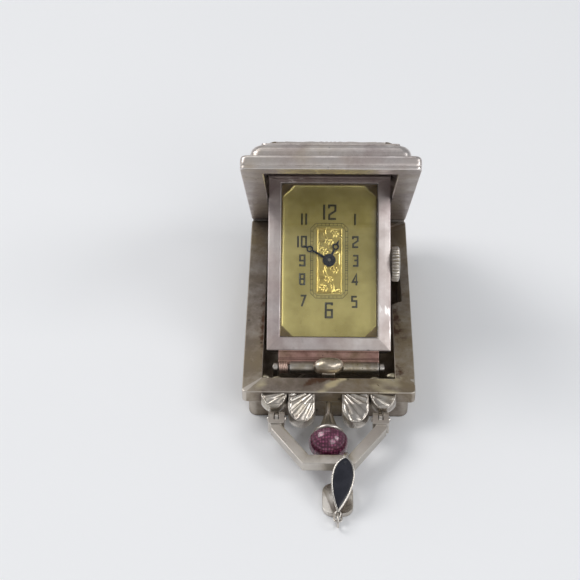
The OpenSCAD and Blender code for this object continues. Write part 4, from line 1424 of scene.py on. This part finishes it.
@dataclass
class LeafLink(Maker):
    """Leaf-shaped link: frame with its enamel, the loop on the bow, the ring and the link behind."""

    length: float = 7.6
    half: float = 1.55
    lean: float = -8.0
    top: float = 0.6
    rise: float = 1.45
    peak: float = 0.3456
    points: int = 160

    def outline(self, inset: float) -> Array:
        """Leaf outline, rounded at the top and pointed below, moved in along its normals.

        The half width is a power of the distance from the top times the distance from the point,
        over the peak of that product.

        Args:
            inset: how far it is moved in.
        Returns:
            Points of the outline in mm, one a row.
        """
        a = round_steps(self.points)
        u = (1 - np.cos(a)) / 2
        wide = self.half * u**0.62 * (1 - u) / self.peak * np.sign(np.sin(a)) * (np.abs(np.sin(a)) > TINY)
        p = np.stack([wide, self.top - self.length * u], -1)
        step = np.roll(p, -1, 0) - np.roll(p, 1, 0)
        normal = np.stack([step[:, 1], -step[:, 0]], -1)
        normal /= np.maximum(np.linalg.norm(normal, axis=1), TINY)[:, None]
        centre = np.array([0.0, self.top - self.length * 0.4])
        facing = np.sign((normal * (p - centre)).sum(1))[:, None]
        q = p - normal * facing * inset
        q[:, 1] = np.clip(q[:, 1], self.top - self.length + inset * 2.4, self.top - inset)
        q[:, 0] = np.where(np.abs(p[:, 0]) < inset * 0.4, 0,
                           np.sign(p[:, 0]) * np.maximum(np.sign(p[:, 0]) * q[:, 0], 0))
        c, s = math.cos(math.radians(self.lean)), math.sin(math.radians(self.lean))
        eye = np.array([0.0, self.top - self.length])
        d = q - eye
        return np.stack([d[:, 0] * c - d[:, 1] * s, d[:, 0] * s + d[:, 1] * c], -1) + eye

    def rings(self, steps: Sequence[tuple]) -> Array:
        """Rings of the outline at (inset, height) steps."""
        level = np.ones((self.points, 1))
        return np.stack([np.concatenate([self.outline(i), z * level], 1) for i, z in steps])

    def build(self) -> None:
        """Makes the leaf, its enamel, loop, ring and end link."""
        rise = self.rise
        frame = skin(self.rings([(1.2, rise), (0.06, rise), (0.0, rise + 0.08), (0.0, rise + 0.4),
                                 (0.05, rise + 0.48), (0.13, rise + 0.5),
                                 (0.2, rise + 0.47), (0.24, rise + 0.36), (0.24, rise + 0.2),
                                 (1.2, rise + 0.2)]))
        eye = tube(np.stack([0.36 * np.cos(t := round_steps(40)), -7.1 + 0.36 * np.sin(t),
                             rise + 0.25 + 0 * t], -1), 0.12, 10, True)
        self.part("leaf_rim", join(frame, eye), self.looks.chased, Body.LEAF, "leaf_frame",
                  place=self.at.leaf, sharp=50)
        dome = skin(self.rings([(1.2, rise + 0.21), (0.23, rise + 0.21), (0.23, rise + 0.38),
                                (0.34, rise + 0.41), (0.6, rise + 0.44), (0.9, rise + 0.455),
                                (1.2, rise + 0.46)]))
        self.part("leaf_glaze", dome, self.looks.leaf, Body.LEAF, "leaf_enamel", slot="leaf_enamel",
                  place=self.at.leaf, sharp=60)
        a = round_steps(72)
        section = np.array([(-0.4, -0.1), (-0.33, -0.15), (0.33, -0.15), (0.4, -0.1), (0.4, 0.06),
                            (0.3, 0.13), (0.12, 0.15), (-0.12, 0.15), (-0.3, 0.13), (-0.4, 0.06)])
        r = 1.28 + section[None, :, 1]
        strap = np.stack([1.0 + section[None, :, 0] + 0 * a[:, None], r * np.cos(a)[:, None],
                          r * np.sin(a)[:, None]], -1)
        self.part("leaf_strap", skin(strap, True), self.looks.chased, Body.LEAF, "leaf_loop",
                  place=self.at.leaf, sharp=50)
        circle = np.stack([0 * a, -7.95 + 0.85 * np.cos(a), 1.7 + 0.85 * np.sin(a)], -1)
        self.part("small_ring", tube(circle, 0.14, 14, True), self.looks.fitting, Body.LEAF, "jump_ring",
                  place=self.at.leaf)
        self.shop.eased("end_link", self.looks.chased, 0.3, 4)


# ---------------------------------------------------------------- watch head


@dataclass
class WatchCase(Maker):
    """Bezel, glass, wall and back of the watch head, and its crown."""

    def build(self) -> None:
        """Makes the bezel, the glass, the wall, the back and the crown."""
        w = Layout.FRONT
        corners = [(1.0, w - 1, 1.0, 0.04), (0.0, w - 1, 0.0, 0.12), (0.0, w - 0.72, 0.0, 0.12),
                   (0.0, w - 0.04, 0.62, 0.12),
                   (0.12, w + 0.03, 0.85, 0.1), (0.8, w + 0.2, 1.1, 0.06), (1.72, w + 0.39, 1.6, 0.05),
                   (1.9, w + 0.3, 1.75, 0.05), (1.9, w - 0.6, 1.75, 0.05), (1.0, w - 0.6, 1.0, 0.04),
                   (1.0, w - 1, 1.0, 0.04)]
        rings = Moulding(8.8, 2.5, 28.6, 3, 70).rings(profile(corners, 0.07, 0.35)[:-1])
        rings[..., 2] += 0.012 * bumps(rings, 0.5, 21) * (rings[..., 2] > w - 0.3)
        self.part("bezel_frame", skin(rings, True), self.looks.bezel, Body.HEAD, "bezel", slot="bezel_silver",
                  place=self.at.head, sharp=24)
        pane = [(6.8, w + 0.1, 6.8, 0.02), (0.0, w + 0.1, 0.0, 0.04), (0.0, w + 0.42, 0.0, 0.04),
                (0.95, w + 0.62, 0.95, 0.04), (3.5, w + 0.66, 3.5, 0.04), (6.8, w + 0.68, 6.8, 0.02)]
        glass = Moulding(6.88, 4.42, 26.83, 2, 20).rings(profile(pane, 0.03, 1.5))
        self.part("glass_pane", skin(glass), self.looks.glass, Body.HEAD, "crystal", slot="glass",
                  place=self.at.head, sharp=5)
        self.shop.eased("case_band", self.looks.bezel, 0.07)
        self.shop.eased("case_back", self.looks.bezel, 0.18, 3)
        def knurl(angle: Array) -> Array:
            """Returns a factor on the radius that dips at each groove."""
            return 1 - 0.075 * np.abs(np.sin(angle * 15)) ** 2.2
        line = [(8.95, 0), (8.95, 2.1), (9.0, 2.3), (9.14, 2.5), (9.3, 2.55), (9.8, 2.55), (9.98, 2.5),
                (10.1, 2.3), (10.15, 2.05), (10.12, 1.6), (10.06, 0.8), (10.05, 0)]
        def ribs(along: Array, angle: Array) -> Array:
            """Returns the knurl, faded out towards both ends of the crown."""
            size = np.interp(along, [8.95, 9.05, 10.0, 10.14], [0.0, 1.0, 1.0, 0.3])
            return 1 + (knurl(angle) - 1) * size
        crown = lathe(line, 300, ribs).moved((0, Layout.CROWN_ALONG, Layout.STEM))
        self.part("winding_crown", crown, self.looks.fitting, Body.CROWN, "crown", place=self.at.head,
                  sharp=45)


class Numerals:
    """Squared numerals drawn with strokes in a box one high; the width of each is its own."""

    STROKES = {
        "0": (0.42, [[(0, 0), (0, 1), (0.42, 1), (0.42, 0), (0, 0)]]),
        "1": (0.1, [[(0.05, 1.06), (0.05, -0.06)]]),
        "2": (0.46, [[(0, 0.78), (0, 1), (0.46, 1), (0.46, 0.6), (0.02, 0.3), (0.02, 0), (0.5, 0)]]),
        "3": (0.44, [[(0, 1), (0.44, 1), (0.44, 0), (0, 0)], [(0.12, 0.53), (0.44, 0.53)]]),
        "4": (0.48, [[(0.36, -0.06), (0.36, 1), (0, 0.26), (0.52, 0.26)]]),
        "5": (0.44, [[(0.46, 1), (0.02, 1), (0.02, 0.58), (0.44, 0.58), (0.44, 0), (0, 0)]]),
        "6": (0.44, [[(0.44, 0.86), (0.44, 1), (0, 1), (0, 0), (0.44, 0), (0.44, 0.52), (0.04, 0.52)]]),
        "7": (0.46, [[(0, 1), (0.46, 1), (0.1, -0.04)]]),
        "8": (0.42, [[(0, 0), (0, 1), (0.42, 1), (0.42, 0), (0, 0)], [(0.04, 0.52), (0.38, 0.52)]]),
        "9": (0.44, [[(0, 0.14), (0, 0), (0.44, 0), (0.44, 1), (0, 1), (0, 0.48), (0.4, 0.48)]]),
    }

    @classmethod
    def write(cls, text: str, centre: tuple, high: float, width: float, low: float, top: float) -> list:
        """Strokes of a numeral about a centre.

        Args:
            text: digits.
            centre: middle of the numeral in mm.
            high: height in mm.
            width: width of the strokes.
            low: height of their underside.
            top: height of their face.
        Returns:
            List of solids.
        """
        gap = 0.3
        total = sum(cls.STROKES[c][0] for c in text) + gap * (len(text) - 1)
        at, solids = -total / 2, []
        for c in text:
            wide, lines = cls.STROKES[c]
            for line in lines:
                p = (np.array(line) + (at, -0.5)) * high + centre
                solids.append(ribbon(p, width, low, top))
            at += wide + gap
        return solids


@dataclass
class WatchDial(Maker):
    """Gilt dial with its embossed panel, minute track, numerals and the two hands."""

    top: float = -0.6

    @staticmethod
    def beyond(x: Array, y: Array) -> Array:
        """Distance outside the field's border, which is a rectangle with cut corners."""
        corner = (np.abs(x) - 6.55 + np.abs(y) - 10.95 + 1.5) / math.sqrt(2)
        return np.maximum(np.maximum(np.abs(x) - 6.55, np.abs(y) - 10.95), corner)

    def outer(self, p: Array) -> Array:
        """Marks the plate beyond its border, where a dark reflection is painted.

        Args:
            p: points in mm in the shared frame.
        Returns:
            0 on the field, 1 beyond the border.
        """
        d = p - np.array(self.at.works.origin)
        a = math.radians(self.at.works.tilt)
        return ramp(self.beyond(d[:, 0], d[:, 1] * math.cos(a) + d[:, 2] * math.sin(a)), 0.0, 0.12)

    def plate(self) -> Solid:
        """Dial plate: flat, with a shallow sunk field inside a border with cut corners.

        Returns:
            A closed solid in the frame of the dial.
        """
        x, y = np.meshgrid(np.linspace(-7.7, 7.7, 150), np.linspace(-12.15, 12.15, 220))
        edge = self.beyond(x, y)
        z = self.top - 0.03 * ramp(edge, 0.1, -0.05) + 0.035 * bell(edge, 0.12, 0.12)
        return sheet_solid(np.stack([x, y, z], -1), np.stack([x, y, np.full_like(x, -0.85)], -1))

    def panel(self) -> Solid:
        """Embossed panel: a waving stem with leaves on both sides and a flower at each turn.

        The stem is a ridge about a sine; a leaf is a ridge that bends away from it; a flower is a
        ring of rounded lobes by the cosine of the angle about its middle.

        Returns:
            A closed solid in the frame of the dial.
        """
        x, y = np.meshgrid(np.linspace(-1.86, 1.86, 96), np.linspace(-4.85, 4.85, 250))
        stem = 0.62 * np.sin(y * 1.15)
        high = bell(x - stem, 0, 0.1)
        side = np.sign(np.cos(y * 1.15))
        bend = (x - stem) * side
        for k in range(4):
            curl = y * 1.0 + bend**2 * 0.55 - bend * (0.9 + 0.15 * k)
            high = np.maximum(high, bell(np.sin(curl * 3.4 + k * 1.6), 1, 0.5) * ramp(bend, 0.08, 0.3)
                              * (1 - ramp(np.abs(x), 1.35, 1.6)) * 0.8)
        for k, centre in enumerate((-4.0, -2.75, -1.35, 1.35, 2.75, 4.0)):
            cx = -0.75 * math.sin(centre * 1.15)
            r, a = np.hypot(x - cx, y - centre), np.arctan2(y - centre, x - cx)
            flower = bell(r, 0.34, 0.16) * (0.55 + 0.45 * np.cos(a * 6)) + bell(r, 0, 0.12)
            high = np.where(r < 0.62, np.maximum(high * ramp(r, 0.5, 0.62), flower), high)
        border = bell(np.maximum(np.abs(x) - 1.72, np.abs(y) - 4.7), 0, 0.08)
        z = self.top - 0.01 + 0.10 * np.clip(np.maximum(high, border), 0, 1)
        return sheet_solid(np.stack([x, y, z], -1), np.stack([x, y, np.full_like(x, -0.7)], -1))

    def track(self) -> list:
        """Minute track: two lines with cut corners and a tick for each minute between them.

        Returns:
            Its closed solids in the frame of the dial.
        """
        def loop(hx: float, hy: float, cut: float) -> list:
            """Returns the corners of a rectangle with cut corners."""
            return [(hx - cut, -hy), (hx, -hy + cut), (hx, hy - cut), (hx - cut, hy), (-hx + cut, hy),
                    (-hx, hy - cut), (-hx, -hy + cut), (-hx + cut, -hy)]
        base, top = self.top - 0.035, self.top + 0.012
        solids = [ribbon(loop(2.68, 5.5, 0.75), 0.05, base, top, True),
                  ribbon(loop(2.32, 5.14, 0.62), 0.035, base, top, True)]
        for k in range(60):
            a = math.radians(6 * k)
            s, c = math.sin(a), math.cos(a)
            reach = min(2.5 / max(abs(s), 1e-6), 5.32 / max(abs(c), 1e-6), 7.12 / (abs(s) + abs(c)))
            across = abs(s) * 5.32 > abs(c) * 2.5
            dx, dy = (0.16, 0) if across else (0, 0.16)
            x, y = reach * s, reach * c
            solids.append(ribbon([(x - dx, y - dy), (x + dx, y + dy)], 0.07 if k % 5 == 0 else 0.035, base,
                                 top))
        return solids

    def numerals(self) -> list:
        """The hours at their places round the track.

        Returns:
            Their closed solids in the frame of the dial.
        """
        base, top = self.top - 0.035, self.top + 0.014
        tall = {12: (0, 7.15), 6: (0, -7.25)}
        side = {1: (3.7, 6.1), 2: (3.75, 2.75), 3: (3.75, 0), 4: (3.72, -2.75), 5: (3.6, -6.0),
                7: (-3.7, -5.9), 8: (-3.85, -2.75), 9: (-3.85, 0), 10: (-3.95, 2.75), 11: (-3.65, 6.1)}
        solids = []
        for hour, centre in tall.items():
            solids += Numerals.write(str(hour), centre, 2.0, 0.3, base, top)
        for hour, centre in side.items():
            solids += Numerals.write(str(hour), centre, 1.5, 0.26, base, top)
        return solids

    def hand(self, reach: float, low: float, turn: float) -> Solid:
        """Hand: domed boss, tapering shaft, small ring and pointed tip, turned from 12.

        Args:
            reach: length from the hub.
            low: height of the underside.
            turn: angle in degrees clockwise from 12.
        Returns:
            A closed solid in the frame of the dial.
        """
        def blade(y: Array, half: Array) -> Solid:
            """A blade with a raised ridge along its middle.

            Args:
                y: places along it.
                half: half widths there.
            Returns:
                A closed solid.
            """
            rise = np.array([0.0, 0.06, 0.1, 0.06, 0.0])
            across = np.array([-1.0, -0.8, 0.0, 0.8, 1.0])
            rings = np.stack([half[:, None] * across[None], np.broadcast_to(y[:, None], (len(y), 5)),
                              low + 0 * y[:, None] + rise[None]], -1)
            return skin(rings)
        boss = upright(lathe([(0, 0.3), (0, 0.8), (0.04, 0.92), (0.08, 0.9), (0.1, 0.5), (0.06, 0.3)], 48),
                       (0, 0, low))
        shaft = blade(np.linspace(0.4, reach - 1.42, 8), np.linspace(0.2, 0.14, 8))
        a = round_steps(44)
        ring = tube(np.stack([0.38 * np.sin(a), reach - 1.1 + 0.38 * np.cos(a), low + 0.05 + 0 * a], -1),
                    0.12, 10, True)
        tip = blade(np.array([reach - 0.8, reach - 0.6, reach - 0.3, reach]),
                    np.array([0.2, 0.17, 0.1, 0.015]))
        whole = join(boss, shaft, ring, tip)
        c, s = math.cos(math.radians(turn)), math.sin(math.radians(turn))
        p = whole.points
        return Solid(np.stack([p[:, 0] * c + p[:, 1] * s, p[:, 1] * c - p[:, 0] * s, p[:, 2]], -1),
                     whole.faces)

    def build(self) -> None:
        """Makes the dial, its markings and the hands."""
        place = self.at.works
        # The outer mark carries the painted dark reflection beyond the field's border.
        self.part("dial_plate", self.plate(), self.looks.dial, Body.HEAD, "dial", slot="dial_gilt",
                  place=place, sharp=80, marks={"outer": self.outer})
        self.part("dial_emboss", self.panel(), self.looks.relief, Body.HEAD, slot="dial_gilt", place=place,
                  sharp=80)
        self.part("dial_print", join(*self.track(), *self.numerals()), self.looks.ink, Body.HEAD,
                  "dial_markings", slot="dial_ink", place=place, sharp=60)
        self.part("hour_pointer", self.hand(3.3, -0.42, 25.0), self.looks.blued, Body.HOUR, "hour_hand",
                  slot="blued_steel", place=place)
        self.part("minute_pointer", self.hand(4.3, -0.24, 300.0), self.looks.blued, Body.MINUTE,
                  "minute_hand", slot="blued_steel", place=place)


@dataclass
class Works:
    """The movement behind the dial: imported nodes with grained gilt, steel and blued finishes."""

    shop: Workshop
    looks: Finishes

    def dress(self) -> None:
        """Gives each node of the movement its finish."""
        self.shop.dress(self.looks.gilt, "main_plate", "barrel_bridge", "train_bridge", "balance_cock",
                        "barrel", "centre_wheel",
                        "third_wheel", "fourth_wheel", "balance_wheel", "minute_wheel", "hour_wheel")
        self.shop.dress(self.looks.steel, "stem", "winding_pinion", "ratchet_wheel", "crown_wheel", "click",
                        "escape_wheel",
                        "pallet_fork", "cannon_pinion", "movement_ring")
        self.shop.dress(self.looks.blued, "hairspring", "bridge_screws")


# ---------------------------------------------------------------- stage


@dataclass
class StudioStage:
    """Pale sheet, soft light and the camera."""

    rim: float
    lift: float = 43.18
    turn: float = -1.55
    roll: float = -0.642
    focal: float = 88.82
    spot: tuple = (-1.54, -152.6, 145.38)

    def camera(self) -> None:
        """Puts the camera above the bead end, looking down along the watch."""
        e, yaw, roll = (math.radians(v) for v in (self.lift, self.turn, self.roll))
        ahead = Vector((math.sin(yaw) * math.cos(e), math.cos(yaw) * math.cos(e), -math.sin(e)))
        right = Vector((math.cos(yaw), -math.sin(yaw), 0))
        up = right.cross(ahead)
        side = math.cos(roll) * right + math.sin(roll) * up
        top = -math.sin(roll) * right + math.cos(roll) * up
        lens = bpy.data.cameras.new("camera")
        lens.sensor_width, lens.lens, lens.clip_start, lens.clip_end = 36, self.focal, 0.005, 5
        item = stand("camera", lens)
        x, y, z = self.spot[0] * MM, self.spot[1] * MM, (self.spot[2] + self.rim) * MM
        item.matrix_world = Matrix(((side.x, top.x, -ahead.x, x), (side.y, top.y, -ahead.y, y),
                                    (side.z, top.z, -ahead.z, z), (0, 0, 0, 1)))
        bpy.context.scene.camera = item

    def sheet(self) -> None:
        """Pale sheet that rises in a soft curve far behind the watch."""
        y = np.linspace(-0.6, 1.2, 90)
        z = 0.35 * ramp(y, 0.35, 1.15) ** 1.5
        x = np.linspace(-1.2, 1.2, 30)
        gx, gy = np.meshgrid(x, y)
        points = np.stack([gx, gy, np.broadcast_to(z[:, None], gx.shape)], -1).reshape(-1, 3)
        mesh = bpy.data.meshes.new("pale_sheet")
        mesh.from_pydata(points.tolist(), [], grid_faces(90, 30, False))
        smooth(mesh)
        mat, g, shader, where = Finish("pale_sheet").start()
        shade = g.blend(g.noise(where, 14.0, 2.0), (0.87, 0.88, 0.90), (0.90, 0.91, 0.93))
        g.feed(shader, {"Base Color": shade})
        shader.inputs["Roughness"].default_value = 0.7
        mesh.materials.append(mat)
        stand("pale_sheet", mesh)

    def lamp(self, name: str, place: tuple, size: float, power: float, colour: tuple = (1, 1, 1)) -> None:
        """Adds a square soft light aimed at the watch.

        Args:
            name: its name.
            place: where it stands, in metres.
            size: its side in metres.
            power: its power in watts.
            colour: its colour.
        """
        data = bpy.data.lights.new(name, "AREA")
        data.energy, data.size, data.color = power, size, colour
        item = stand(name, data)
        item.location = place
        item.rotation_euler = (Vector((0, 0, 0.01)) - Vector(place)).to_track_quat("-Z", "Y").to_euler()

    def build(self) -> None:
        """Makes the camera, the sheet, the lights and the sky."""
        self.camera()
        self.sheet()
        self.lamp("window_left", (-0.45, 0.1, 0.5), 0.34, 1.9, (1.0, 0.98, 0.96))
        self.lamp("window_right", (0.5, -0.15, 0.45), 0.25, 1.0)
        self.lamp("front", (0.24, -0.44, 0.42), 0.3, 0.8)
        self.lamp("overhead", (-0.1, 0.35, 0.6), 0.4, 0.45, (0.97, 0.99, 1.0))
        world = bpy.data.worlds.new("soft_room")
        world.use_nodes = True
        sky = world.node_tree.nodes["Background"]
        sky.inputs[0].default_value, sky.inputs[1].default_value = (0.95, 0.97, 1.0, 1.0), 0.33
        bpy.context.scene.world = world
        bpy.context.scene.view_settings.view_transform = "Standard"
        log.info("stage set")


# ---------------------------------------------------------------- making


def main() -> None:
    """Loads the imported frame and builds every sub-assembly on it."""
    logging.basicConfig(level=logging.INFO, format="%(name)s: %(message)s")
    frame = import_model()
    at = Layout(frame)
    StudioStage(at.rim).build()
    shop, looks = Workshop(frame), Finishes()
    for maker in (TrayCase, HingedLid, WatchHinge, PushPiece, Palmette, HangingBow, LeafLink, WatchCase,
                  WatchDial):
        maker(shop, looks, at).build()
    Works(shop, looks).dress()


if __name__ == "__main__":
    main()
